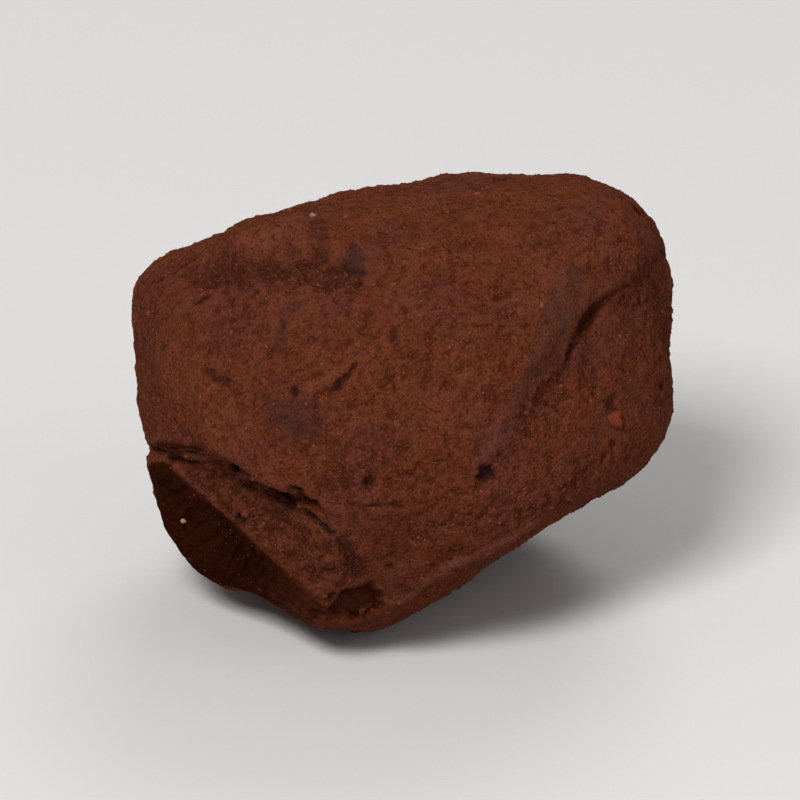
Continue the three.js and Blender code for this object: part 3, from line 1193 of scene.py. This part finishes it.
RIGHT = WorkedSide(
    View(turn=90.0),
    (
        Furrow("slanting crack", ((2.6, 1.8), (4.0, 0.8), (5.0, -0.8)), 0.5, 0.28, 0.5, 0.2, 0.4),
        Pit("pit on the right", (3.8, 4.4), 0.9, 0.45, stretch=1.3, turn=-30),
        Pit("small pit on the right", (-4.4, -4.2), 0.6, 0.3),
        Pit("low pit on the right", (5.2, -5.0), 0.7, 0.3),
        Swelling("right swelling", (4.4, -0.8), 4.6, 0.3, stretch=1.3, turn=20),
        Patch("rubbed edge", Zone.RUBBED, ((-2.2, 7.8), (1.2, 7.4), (4.2, 6.4)),
              1.5, 0.7, 0.06, 0.6),
        Patch("grit", Zone.GRITTY, ((-3.4, 3.4), (2.4, -4.4)), 3.8),
    ),
)

TOP = WorkedSide(
    View(height=85.0),
    (
        Furrow("crack on top", ((-3.4, 3.4), (-1.8, 4.4), (-0.6, 4.2), (0.6, 5.2)),
               0.45, 0.28, 0.8, 0.2, 0.5),
        Pit("pit on top", (6.4, 4.6), 0.8, 0.3, stretch=1.4, turn=60),
        Pit("small pit on top", (-7.2, 6.0), 0.6, 0.3),
        Swelling("top swelling", (3.6, 5.2), 4.6, 0.3, stretch=1.3, turn=-30),
        Patch("rubbed top", Zone.RUBBED, ((1.8, 1.2), (4.8, 3.4)), 2.4, 0.6, 0.0, 0.7),
        Patch("grit at the back of the top", Zone.GRITTY, ((-5.0, 7.4), (-1.0, 9.4)), 4.6),
    ),
)


@dataclass(frozen=True)
class BrokenLip:
    """The lip's torn upper face, and the broken side under it with the drag marks down it.

    The side is the surface near a plane that faces a bearing and a height angle, in degrees, at
    a distance from the centre. It fades between two places across. The drag marks fan out from a
    spot over it. Lengths are in millimetres.
    """

    view: View = field(default_factory=View)
    face: tuple[Spot, ...] = LIP_FACE
    side_bearing: float = -141.5
    side_height: float = -24.4
    side_distance: float = 14.9
    side_reach: float = 0.5
    side_facing: tuple[float, float] = (0.87, 0.95)
    fading: tuple[float, float] = (-9.4, -5.4)
    faded: float = 0.45
    lumps: float = 0.30
    drag: float = 0.10
    drag_centre: Spot = (-7.2, -4.8)
    drag_spread: float = 6.4
    drag_squeeze: float = 0.3

    def work(self, form: Form) -> None:
        """Marks both faces and works their relief in.

        Args:
            form: The mesh while it is worked.
        """
        across, up, near = self.view.seen(form.points)
        side = self.broken_side(form, across)
        face = inside(across, up, self.face, soft=0.9) * (near > 0) * (1.0 - side)
        form.mark(Zone.TORN_AND_SHADE, face)
        # The broken side is dark bare ganache, whose colour in the finish is darkened further as
        # painted shade.
        form.mark(Zone.SIDE, side)
        relief = TORN_LUMPS.at(form.points) * self.lumps * face
        relief += self.streaks(form.points, across, up) * self.drag * side
        form.raise_by(relief * MM)

    def broken_side(self, form: Form, across: Array) -> Array:
        """Finds the broken side.

        Args:
            form: The mesh while it is worked.
            across: Its points' places across.

        Returns:
            From 0 elsewhere to 1 on the broken side, with a ragged edge.
        """
        out = toward(self.side_bearing, self.side_height)
        beyond = (form.points - CENTRE) @ out / MM - self.side_distance
        ragged = BROKEN_EDGE.at(form.points)
        side = smooth_step(form.normals() @ out + 0.05 * ragged, *self.side_facing)
        off = np.abs(beyond) + 0.2 * ragged
        side *= 1.0 - smooth_step(off, self.side_reach, 1.8 * self.side_reach)
        return side * (1.0 - self.faded * smooth_step(across, *self.fading))

    def streaks(self, points: Array, across: Array, up: Array) -> Array:
        """Draws the drag marks.

        Args:
            points: The points, in metres.
            across: Their places across.
            up: Their places up.

        Returns:
            Noise that is stretched along lines that fan out over the side.
        """
        aside, below = across - self.drag_centre[0], up - self.drag_centre[1]
        fan = np.arctan2(below, aside) * self.drag_spread + 0.35 * DRAG_FAN.at(points)
        along = np.hypot(aside, below) * self.drag_squeeze
        return DRAG_MARKS.at(np.stack([fan, along, np.zeros(len(fan))], axis=1) * MM)


@dataclass
class GanacheBody:
    """The truffle's body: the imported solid's form, made fine, softened and marked.

    Lengths are in metres, but the reach of each sharp line is in millimetres.
    """

    voxel: float = 0.222 * MM
    soften_rounds: int = 8
    soften_share: float = 0.75
    sharp_lines: tuple[tuple[tuple[Spot, ...], float], ...] = (
        (CRACK, 1.3),
        (LIP_EDGE, 1.0),
        (RIDGE[:4], 0.9),
    )
    sharpness: float = 0.85
    melt_line: tuple[Spot, ...] = RIDGE[3:]
    melt_rounds: int = 40
    melt_reach: tuple[float, float] = (0.8 * MM, 3.2 * MM)
    foot: float = 0.05 * MM
    lip: BrokenLip = field(default_factory=BrokenLip)
    sides: tuple[WorkedSide, ...] = (FRONT, BACK, LEFT, RIGHT, TOP)
    grit: float = 0.55
    lump_height: float = 0.55 * MM
    lump_size: float = 2.6 * MM
    clod_height: float = 0.36 * MM
    clod_size: float = 1.25 * MM
    grain_height: float = 0.34 * MM
    grain_size: float = 0.55 * MM
    hollows: tuple[tuple[Zone, int, float], ...] = ((Zone.HOLLOW, 5, 14.0), (Zone.DIP, 45, 2.6))

    def build(self, solid: bpy.types.Object, finish: bpy.types.Material) -> bpy.types.Object:
        """Makes the body.

        Args:
            solid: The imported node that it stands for.
            finish: Its material.

        Returns:
            The finished object, not yet riding on anything.
        """
        rough = self.fine_copy(solid)
        form = Form(rough.data)
        for zone in (Zone.BARE_AND_SHADE, Zone.RUBBED, Zone.PALE, Zone.GRITTY):
            form.mark(zone, form.blank())
        self.soften(form)
        self.lip.work(form)
        tree = search_tree(form.mesh)
        worked = (mark.work(form, tree, side.view) for side in self.sides for mark in side.marks)
        form.raise_by(sum(worked))
        form.mark(Zone.GRITTY, self.grit * smooth_step(GRITTY_PLACES.at(form.points), -0.4, 0.5))
        form.write()
        body = self.powdered(form.mesh, finish)
        bpy.data.objects.remove(rough)
        self.mark_hollows(Form(body.data))
        return body

    def fine_copy(self, solid: bpy.types.Object) -> bpy.types.Object:
        """Remeshes the solid.

        Args:
            solid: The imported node.

        Returns:
            A copy with an even, fine mesh.
        """
        mesh = solid.data.copy()
        sheet = bmesh.new()
        sheet.from_mesh(mesh)
        bmesh.ops.remove_doubles(sheet, verts=sheet.verts, dist=SAME_PLACE)
        sheet.to_mesh(mesh)
        sheet.free()
        copy = placed(mesh, "rough_body")
        remesh = copy.modifiers.new("fine", "REMESH")
        remesh.mode = "VOXEL"
        remesh.voxel_size = self.voxel
        return baked(copy, "fine_body")

    def soften(self, form: Form) -> None:
        """Rounds the solid off, least along its sharp lines, and melts the ridge's lower half.

        Args:
            form: The mesh while it is worked.
        """
        view = self.lip.view
        tree = search_tree(form.mesh)
        sharp = form.blank()
        for path, reach in self.sharp_lines:
            distance, _ = along_path(form.points, view.landed(tree, path))
            near = 1.0 - smooth_step(distance, 0.5 * reach * MM, 1.6 * reach * MM)
            sharp = np.maximum(sharp, near)
        resting = form.points[:, 2] < self.foot
        share = self.soften_share * (1.0 - self.sharpness * sharp)
        form.points = form.blurred(form.points, self.soften_rounds, share)
        distance, _ = along_path(form.points, view.landed(tree, self.melt_line))
        share = 1.0 - smooth_step(distance, *self.melt_reach)
        form.points = form.blurred(form.points, self.melt_rounds, share)
        form.points[resting, 2] = 0.0
        form.write()

    def powdered(self, mesh: bpy.types.Mesh, finish: bpy.types.Material) -> bpy.types.Object:
        """Lays the powder coat's relief on.

        Args:
            mesh: The worked mesh.
            finish: The body's material.

        Returns:
            The body with the clumpy relief of its coat.
        """
        sheet = ShapeSheet("powder_relief")
        lump = sheet.knob("Lump Height", self.lump_height)
        clod = sheet.knob("Clod Height", self.clod_height)
        grain = sheet.knob("Grain Height", self.grain_height)
        coat = sheet.knob("Finish", finish, "NodeSocketMaterial")
        where = sheet.places()
        rubbed, bare, side, gritty = sheet.attributes(
            Zone.RUBBED, Zone.BARE_AND_SHADE, Zone.SIDE, Zone.GRITTY
        )
        loose = (1.0 - rubbed * 0.75) * (1.0 - bare * 0.6) * (1.0 - side * 0.7)
        rough = gritty.between(0.0, 1.0, 0.6, 1.5) * loose
        ragged = sheet.warped(where, 1.1 * MM, 0.9 * MM)
        height = (sheet.noise(where, self.lump_size) - 0.5) * lump * (1.0 - side * 0.6)
        height += (sheet.noise(ragged, self.clod_size, 3.0, 0.55) - 0.5) * clod * rough
        height += (sheet.noise(where, self.grain_size, 1.0) - 0.5) * grain * rough
        lift = height * sheet.floor_clearance(where).between(0.02 * MM, 0.8 * MM)
        normal = sheet.node("GeometryNodeInputNormal").outputs[0]
        raised = sheet.moved(sheet.start.outputs[0], sheet.vectors("SCALE", normal, lift))
        sheet.dressed(raised, coat)
        return sheet.apply(mesh, "truffle_body")

    def mark_hollows(self, form: Form) -> None:
        """Marks how deep each point lies, among the grains and in the broader forms, for the
        painted shade in them.

        Args:
            form: The finished body's mesh.
        """
        normals = form.normals()
        for zone, rounds, steepness in self.hollows:
            sunk = ((form.blurred(form.points, rounds) - form.points) * normals).sum(axis=1) / MM
            form.mark(zone, 0.5 + sunk * steepness)
        form.write()


# ---------------------------------------------------------------- loose cocoa


# How flat a grain may lie, as a share of its width, and how many lumps there are across it.
FLATTEST = 0.65
LUMPS_PER_GRAIN = 2.3


class GrainShape(Enum):
    """How finely a grain is cut: its segments round and its rings."""

    SPECK = (4, 2)
    GRAIN = (5, 3)
    CLUMP = (6, 4)


@dataclass(frozen=True)
class CocoaScatter:
    """Grains or clumps of cocoa that lie on the body; sizes in millimetres."""

    name: str
    per_square_mm: float
    smallest: float
    largest: float
    seed: int
    on_rubbed: float
    drift: float
    shape: GrainShape
    lumpy: float
    sunk: float

    def build(self, body: bpy.types.Mesh, finish: bpy.types.Material) -> bpy.types.Object:
        """Scatters the grains over the body.

        Args:
            body: The body's finished mesh.
            finish: The grains' material.

        Returns:
            One object that holds them all.
        """
        sheet = ShapeSheet(self.name)
        density = sheet.knob("Density", self.per_square_mm / MM**2)
        smallest = sheet.knob("Smallest", self.smallest * MM)
        largest = sheet.knob("Largest", self.largest * MM)
        seed = sheet.knob("Seed", self.seed, "NodeSocketInt")
        coat = sheet.knob("Finish", finish, "NodeSocketMaterial")
        points = sheet.node(
            "GeometryNodeDistributePointsOnFaces",
            {"distribute_method": "RANDOM"},
            {
                "Mesh": sheet.start.outputs[0],
                "Density": self.spread(sheet, density),
                "Seed": seed,
            },
        )
        share = sheet.draw(seed, Draw.SIZE)
        size = share * share * (largest - smallest) + smallest
        down = sheet.vectors("SCALE", points.outputs["Normal"], size * -self.sunk)
        lying = sheet.moved(points.outputs["Points"], down)
        turn = sheet.node(
            "FunctionNodeRandomValue",
            {"data_type": "FLOAT_VECTOR"},
            {"Min": (0.0, 0.0, 0.0), "Max": (math.tau, math.tau, math.tau), "Seed": seed},
        )
        height = size * (sheet.draw(seed, Draw.FLATNESS) * (1.0 - FLATTEST) + FLATTEST)
        scale = sheet.node("ShaderNodeCombineXYZ", None, {0: size, 1: size, 2: height})
        copies = sheet.node(
            "GeometryNodeInstanceOnPoints",
            None,
            {
                "Points": sheet.stored(lying, Zone.TONE, sheet.draw(seed, Draw.TONE)),
                "Instance": self.one_grain(sheet),
                "Rotation": turn.outputs[0],
                "Scale": scale.outputs[0],
            },
        )
        sheet.dressed(copies.outputs[0], coat)
        return sheet.apply(body, self.name)

    def spread(self, sheet: ShapeSheet, density: Value) -> Value:
        """Returns how thickly the grains lie.

        Args:
            sheet: The scatter's tree.
            density: How thickly they lie on an even coat.

        Returns:
            The density: in drifts, more on gritty places and less where the coat is worn.
        """
        where = sheet.places()
        rubbed, bare, torn, side, gritty = sheet.attributes(
            Zone.RUBBED, Zone.BARE_AND_SHADE, Zone.TORN_AND_SHADE, Zone.SIDE, Zone.GRITTY
        )
        drifts = sheet.noise(where, self.drift * MM).between(0.38, 0.66, 0.3, 1.5)
        kept = rubbed.between(0.1, 0.8, 1.0, self.on_rubbed) * (1.0 - bare)
        kept = kept * side.between(0.0, 0.6, 1.0, 0.08) * (1.0 - torn * 0.4)
        off_floor = sheet.floor_clearance(where).between(0.4 * MM, 1.0 * MM)
        return density * drifts * kept * gritty.between(0.0, 1.0, 0.6, 1.7) * off_floor

    def one_grain(self, sheet: ShapeSheet) -> bpy.types.NodeSocket:
        """Makes one lumpy grain.

        Args:
            sheet: The scatter's tree.

        Returns:
            The grain, 1 across.
        """
        segments, rings = self.shape.value
        ball = sheet.node(
            "GeometryNodeMeshUVSphere", None, {"Radius": 0.5, "Segments": segments, "Rings": rings}
        )
        push = sheet.push(sheet.places(), {"Scale": LUMPS_PER_GRAIN, "Detail": 1.0}, self.lumpy)
        return sheet.moved(ball.outputs["Mesh"], push)


@dataclass(frozen=True)
class Crumb:
    """A crumb at a spot on the front; its width in millimetres, and its tone from dark to pale."""

    spot: Spot
    width: float
    tone: float


@dataclass(frozen=True)
class CrumbRow:
    """Crumbs that fill a stretch of a crack; sizes in millimetres."""

    path: tuple[Spot, ...]
    number: int
    spread: float
    widths: tuple[float, float]
    tones: tuple[float, float]
    seed: int

    def crumbs(self) -> list[Crumb]:
        """Strews the row's crumbs along its path.

        Returns:
            The crumbs.
        """
        draw = np.random.default_rng(self.seed)
        corners = np.array(self.path)
        marks = np.linspace(0.0, 1.0, len(corners))
        made = []
        for share in draw.uniform(size=self.number):
            across, up = (
                np.interp(share, marks, corners[:, axis]) + draw.normal(0.0, self.spread)
                for axis in (0, 1)
            )
            width, tone = draw.uniform(*self.widths), draw.uniform(*self.tones)
            made.append(Crumb((across, up), width, tone))
        return made


CRUMBS = (
    Crumb((13.6, -1.2), 1.1, 0.88),
    Crumb((-9.7, -7.1), 0.55, 0.72),
    Crumb((-13.6, -7.6), 0.36, 1.0),
    Crumb((-4.5, -10.0), 0.68, 0.7),
    Crumb((-2.4, -13.2), 0.5, 0.6),
    Crumb((-4.3, 10.3), 0.5, 0.7),
    Crumb((-5.5, 11.6), 0.42, 0.965),
    Crumb((11.8, 12.6), 0.4, 0.86),
    Crumb((-9.2, -4.9), 0.45, 0.7),
    Crumb((5.7, -3.4), 0.35, 0.6),
)
ROWS = (
    CrumbRow(
        ((-12.6, -4.0), (-11.6, -4.1), (-10.8, -4.4)),
        number=26,
        spread=0.13,
        widths=(0.3, 0.6),
        tones=(0.2, 0.6),
        seed=3,
    ),
    CrumbRow(
        ((-9.8, -4.8), (-8.6, -5.3), (-7.8, -5.6), (-7.0, -6.0)),
        number=40,
        spread=0.17,
        widths=(0.25, 0.6),
        tones=(0.05, 0.5),
        seed=5,
    ),
)


@dataclass(frozen=True)
class CrumbSet:
    """The single crumbs on the front, and those in the crack; sizes in millimetres.

    Coarse and fine say how many lumps there are across a crumb and how high they stand, and
    apart how far from each other in the noise two crumbs are read.
    """

    view: View = field(default_factory=View)
    crumbs: tuple[Crumb, ...] = CRUMBS
    rows: tuple[CrumbRow, ...] = ROWS
    wall_below: float = 0.5
    pressed_in: float = 0.1
    coarse: tuple[float, float] = (3.0, 0.6)
    fine: tuple[float, float] = (9.0, 0.3)
    apart: float = 5.0

    def build(self, body: bpy.types.Object, finish: bpy.types.Material) -> bpy.types.Object:
        """Lays every crumb on, half sunk into the surface.

        Args:
            body: The finished body.
            finish: The crumbs' material.

        Returns:
            One object that holds them all.
        """
        tree = search_tree(body.data)
        made = bmesh.new()
        tone = made.verts.layers.float.new(Zone.TONE.value)
        places = [(crumb, self.view.land(tree, crumb.spot)) for crumb in self.crumbs]
        strewn = [crumb for row in self.rows for crumb in row.crumbs()]
        places += [(crumb, self.on_lower_wall(tree, crumb.spot)) for crumb in strewn]
        for number, (crumb, place) in enumerate(places):
            for vertex in bmesh.ops.create_icosphere(made, subdivisions=2, radius=0.5)["verts"]:
                vertex.co *= self.lumpy(vertex.co, number * self.apart) * crumb.width * MM
                vertex.co += Vector(place)
                vertex[tone] = crumb.tone
        mesh = bpy.data.meshes.new("crumbs")
        made.to_mesh(mesh)
        made.free()
        mesh.shade_smooth()
        mesh.materials.append(finish)
        return placed(mesh, "crumbs")

    def lumpy(self, place: Vector, shift: float) -> float:
        """Makes a crumb lumpy.

        Args:
            place: A place on a ball.
            shift: Where the noise is read.

        Returns:
            How far out the surface lies, as a share of the ball's radius.
        """
        coarse = noise.noise(place * self.coarse[0] + Vector((shift, 0.0, 0.0)))
        fine = noise.noise(place * self.fine[0] + Vector((0.0, shift, 0.0)))
        return 1.0 + self.coarse[1] * coarse + self.fine[1] * fine

    def on_lower_wall(self, tree: BVHTree, spot: Spot) -> Array:
        """Finds a crumb's place in front of a crack's lower wall.

        Args:
            tree: The body's search tree.
            spot: The spot, over the crack.

        Returns:
            The place at the spot that is as near the eye as the wall, in metres.
        """
        across, up, near = self.view.axes()
        wall = self.view.land(tree, (spot[0], spot[1] - self.wall_below))
        depth = (wall - CENTRE) @ near - self.pressed_in * MM
        spread = 1.0 - depth / CAMERA_DISTANCE
        return np.array(CENTRE) + (across * spot[0] + up * spot[1]) * spread * MM + near * depth


# ---------------------------------------------------------------- finishes


class Layer(NamedTuple):
    """A tone laid over the coat, from where a mask sets in to where it is full."""

    mask: Value
    start: float
    full: float
    share: Value | float
    tone: Colour


@dataclass(frozen=True)
class CocoaFinish:
    """Cocoa powder over dark ganache, for the body."""

    powder: Colour = (0.093, 0.0246, 0.0132)
    warm: Colour = (0.109, 0.0268, 0.0101)
    # Paler powder, and the colour of the painted highlights.
    pale: Colour = (0.150, 0.0420, 0.0225)
    # Dark powder in random patches and mottle, and the painted shade in broad dips.
    dark: Colour = (0.062, 0.0152, 0.0074)
    # Dark specks, and the painted shade in hollows.
    deep: Colour = (0.030, 0.0074, 0.0042)
    rubbed: Colour = (0.073, 0.0308, 0.0240)
    ganache: Colour = (0.0085, 0.0056, 0.0058)
    # The lip's torn face, and the painted shade in the valley and over the crack.
    torn: Colour = (0.056, 0.0148, 0.0056)
    # The broken side: dark bare ganache, made darker still as painted shade, and lighter on its
    # ridges.
    side: Colour = (0.0128, 0.0019, 0.0003)
    side_ridge: Colour = (0.0290, 0.0058, 0.0014)
    roughness: float = 0.95
    worn_off: float = 0.2
    smoothest: float = 0.4
    relief: float = 0.16 * MM
    grain_size: float = 0.24 * MM
    clod_size: float = 0.22 * MM
    speck_size: float = 0.20 * MM
    mottle_size: float = 0.8 * MM
    patch_size: float = 2.4 * MM
    warmth_size: float = 5.0 * MM

    def colour(self, sheet: FinishSheet, where: bpy.types.NodeSocket) -> bpy.types.NodeSocket:
        """Lays the coat's colours over each other, painted shade and highlights among them.

        Args:
            sheet: The material's tree.
            where: The object's own coordinates.

        Returns:
            The surface's colour.
        """
        rubbed, pale, bare, torn, side, hollow, dip = sheet.attributes(
            Zone.RUBBED, Zone.PALE, Zone.BARE_AND_SHADE, Zone.TORN_AND_SHADE, Zone.SIDE, Zone.HOLLOW, Zone.DIP
        )
        patches = sheet.noise(where, self.patch_size, 3.0, 0.6)
        ragged = sheet.warped(where, 0.9 * MM, 0.6 * MM)
        mottle = sheet.noise(ragged, self.mottle_size, 3.0, 0.65)
        speck = sheet.noise(where, self.speck_size, 2.0, 0.6)
        # On the broken side, random patches and painted shade in its hollows darken the colour.
        patches_and_hollow_shade = patches.between(0.40, 0.62) * 0.4 + hollow.between(0.3, 0.7) * 0.6
        broken = sheet.mix(patches_and_hollow_shade, self.side_ridge, self.side)
        warmth = sheet.noise(where, self.warmth_size, 3.0)
        colour = sheet.mix(warmth.between(0.42, 0.58), self.powder, self.warm)
        colour = sheet.mix(pale.between(0.1, 0.9) * 0.7, colour, self.pale)
        colour = sheet.mix(torn * 0.85, colour, self.torn)
        worn = rubbed.between(0.1, 0.9) * (1.0 - mottle.between(0.42, 0.62) * 0.5) * 0.9
        colour = sheet.mix(worn, colour, self.rubbed)
        for layer in (
            Layer(patches, 0.48, 0.66, 0.5, self.dark),
            Layer(patches, 0.48, 0.34, 0.32, self.pale),
            # Painted shade: broad dips are darkened.
            Layer(dip, 0.5, 0.95, 0.5, self.dark),
            Layer(mottle, 0.50, 0.68, 0.3, self.dark),
            # Hollows get painted shade, and rises are laid paler.
            Layer(1.0 - hollow, 0.55, 0.98, 0.3, self.pale),
            Layer(hollow, 0.55, 1.0, 0.42, self.deep),
            Layer(speck, 0.50, 0.68, 0.5, self.deep),
            Layer(speck, 0.48, 0.34, (1.0 - rubbed * 0.7) * 0.5, self.pale),
        ):
            share = layer.mask.between(layer.start, layer.full) * layer.share
            colour = sheet.mix(share, colour, layer.tone)
        colour = sheet.mix(side, colour, broken)
        return sheet.mix(bare, colour, self.ganache)

    def build(self) -> bpy.types.Material:
        """Mixes the finish.

        Returns:
            The body's material.
        """
        sheet = FinishSheet("cocoa_coat")
        where = sheet.places()
        rubbed, bare = sheet.attributes(Zone.RUBBED, Zone.BARE_AND_SHADE)
        clods = (0.6 - sheet.cells(where, self.clod_size)) * 0.5
        grains = sheet.noise(where, self.grain_size, 3.0, 0.65) + clods
        height = grains * (1.0 - rubbed * 0.4) * (1.0 - bare * 0.4)
        roughness = rubbed * -self.worn_off + bare * -self.worn_off + self.roughness
        relief = sheet.bumps(height, 1.0, self.relief)
        return sheet.powder(self.colour(sheet, where), roughness.at_least(self.smoothest), relief)


@dataclass(frozen=True)
class GrainFinish:
    """Loose cocoa: each grain has its own tone, from dark to light, and a few are pale."""

    name: str
    dark: Colour
    light: Colour
    pale: Colour
    pale_from: float = 0.9
    roughness: float = 0.95
    speck_size: float = 0.14 * MM
    relief: float = 0.06 * MM
    relief_size: float = 0.12 * MM

    def build(self) -> bpy.types.Material:
        """Mixes the finish.

        Returns:
            The grains' material.
        """
        sheet = FinishSheet(self.name)
        where = sheet.places()
        tone = sheet.attribute(Zone.TONE)
        speck = sheet.noise(where, self.speck_size)
        brown = sheet.mix(tone * 0.9 + (speck - 0.5) * 0.6, self.dark, self.light)
        paleness = (tone - self.pale_from) * (1.0 / (1.0 - self.pale_from))
        colour = sheet.mix(paleness, brown, self.pale)
        relief = sheet.bumps(sheet.noise(where, self.relief_size, 1.0), 0.8, self.relief)
        return sheet.powder(colour, self.roughness, relief)


# ---------------------------------------------------------------- the studio


@dataclass(frozen=True)
class Softbox:
    """A square light that faces the truffle; angles in degrees, size and distance in metres."""

    name: str
    turn: float
    height: float
    distance: float
    size: float
    watts: float

    def build(self, target: Vector) -> None:
        """Hangs the light.

        Args:
            target: What it faces.
        """
        light = bpy.data.lights.new(self.name, "AREA")
        light.shape = "SQUARE"
        light.size = self.size
        light.energy = self.watts
        away = Vector(View(self.turn, self.height).axes()[2])
        lamp = bpy.data.objects.new(self.name, light)
        lamp.location = target + away * self.distance
        lamp.rotation_euler = (-away).to_track_quat("-Z", "Y").to_euler()
        bpy.context.scene.collection.objects.link(lamp)


@dataclass(frozen=True)
class Studio:
    """A plain pale floor, soft light and the camera."""

    floor_half: float = 1.5
    floor_colour: Colour = (0.66, 0.65, 0.64)
    lens: float = 400.0
    nearest: float = 0.01
    furthest: float = 10.0
    air: float = 0.27
    lights: tuple[Softbox, ...] = (
        Softbox("key", turn=-25.0, height=48.0, distance=0.70, size=0.24, watts=4.35),
        Softbox("fill", turn=60.0, height=30.0, distance=0.90, size=0.60, watts=0.9),
        Softbox("rim", turn=165.0, height=40.0, distance=0.80, size=0.40, watts=2.2),
    )

    def build(self) -> None:
        """Sets the stage up round the truffle."""
        target = Vector(CENTRE)
        self.lay_floor()
        for light in self.lights:
            light.build(target)
        self.fill_air()
        self.set_camera(target)

    def lay_floor(self) -> None:
        """Lays the floor."""
        half = self.floor_half
        mesh = bpy.data.meshes.new("floor")
        rim = [(-half, -half, 0), (half, -half, 0), (half, half, 0), (-half, half, 0)]
        mesh.from_pydata(rim, [], [(0, 1, 2, 3)])
        sheet = FinishSheet("floor_paper")
        paper = sheet.node("ShaderNodeBsdfDiffuse", None, {"Color": self.floor_colour})
        mesh.materials.append(sheet.finish(paper))
        placed(mesh, "floor")

    def fill_air(self) -> None:
        """Gives the air an even, faint light."""
        world = bpy.data.worlds.new("studio_air")
        world.use_nodes = True
        background = world.node_tree.nodes["Background"]
        background.inputs["Color"].default_value = (1.0, 1.0, 1.0, 1.0)
        background.inputs["Strength"].default_value = self.air
        bpy.context.scene.world = world
        bpy.context.scene.view_settings.view_transform = "Standard"

    def set_camera(self, target: Vector) -> None:
        """Puts the camera in front, looking down at the target.

        Args:
            target: What it looks at.
        """
        away = Vector(View().axes()[2])
        data = bpy.data.cameras.new("camera")
        data.lens = self.lens
        data.clip_start = self.nearest
        data.clip_end = self.furthest
        camera = bpy.data.objects.new("camera", data)
        camera.location = target + away * CAMERA_DISTANCE
        camera.rotation_euler = (-away).to_track_quat("-Z", "Y").to_euler()
        bpy.context.scene.collection.objects.link(camera)
        bpy.context.scene.camera = camera


# ---------------------------------------------------------------- the whole


SCATTERS = (
    CocoaScatter(
        "cocoa_dust",
        per_square_mm=11.5,
        smallest=0.13,
        largest=0.26,
        seed=11,
        on_rubbed=0.35,
        drift=1.6,
        shape=GrainShape.SPECK,
        lumpy=0.6,
        sunk=0.2,
    ),
    CocoaScatter(
        "cocoa_grains",
        per_square_mm=3.0,
        smallest=0.20,
        largest=0.40,
        seed=17,
        on_rubbed=0.12,
        drift=2.2,
        shape=GrainShape.GRAIN,
        lumpy=0.7,
        sunk=0.25,
    ),
    CocoaScatter(
        "cocoa_clumps",
        per_square_mm=0.30,
        smallest=0.36,
        largest=0.72,
        seed=23,
        on_rubbed=0.0,
        drift=3.0,
        shape=GrainShape.CLUMP,
        lumpy=0.8,
        sunk=0.32,
    ),
)
LOOSE_COCOA = GrainFinish(
    "loose_cocoa",
    dark=(0.058, 0.0145, 0.0070),
    light=(0.156, 0.0405, 0.0180),
    pale=(0.190, 0.055, 0.028),
)
CRUMBLED = GrainFinish(
    "crumb",
    dark=(0.028, 0.0072, 0.0034),
    light=(0.160, 0.0380, 0.0180),
    pale=(0.330, 0.200, 0.165),
)


def report(piece: bpy.types.Object) -> None:
    """Logs a piece's name and its number of triangles."""
    triangles = sum(len(face.vertices) - 2 for face in piece.data.polygons)
    LOG.info("%s: %d triangles", piece.name, triangles)


def corners(box: tuple[Vector, Vector]) -> list[list[float]]:
    """Returns a box's corners as plain lists."""
    return [list(corner) for corner in box]


def main() -> None:
    """Builds the truffle and its studio."""
    logging.basicConfig(level=logging.INFO, format="%(name)s: %(message)s")
    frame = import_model()

    body = GanacheBody().build(frame["nodes"][NODE], CocoaFinish().build())
    loose = LOOSE_COCOA.build()
    scattered = (kind.build(body.data, loose) for kind in SCATTERS)
    pieces = [body, *scattered, CrumbSet().build(body, CRUMBLED.build())]
    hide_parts(NODE)
    for piece in pieces:
        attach(piece, BODY)
        report(piece)
    Studio().build()


if __name__ == "__main__":
    main()
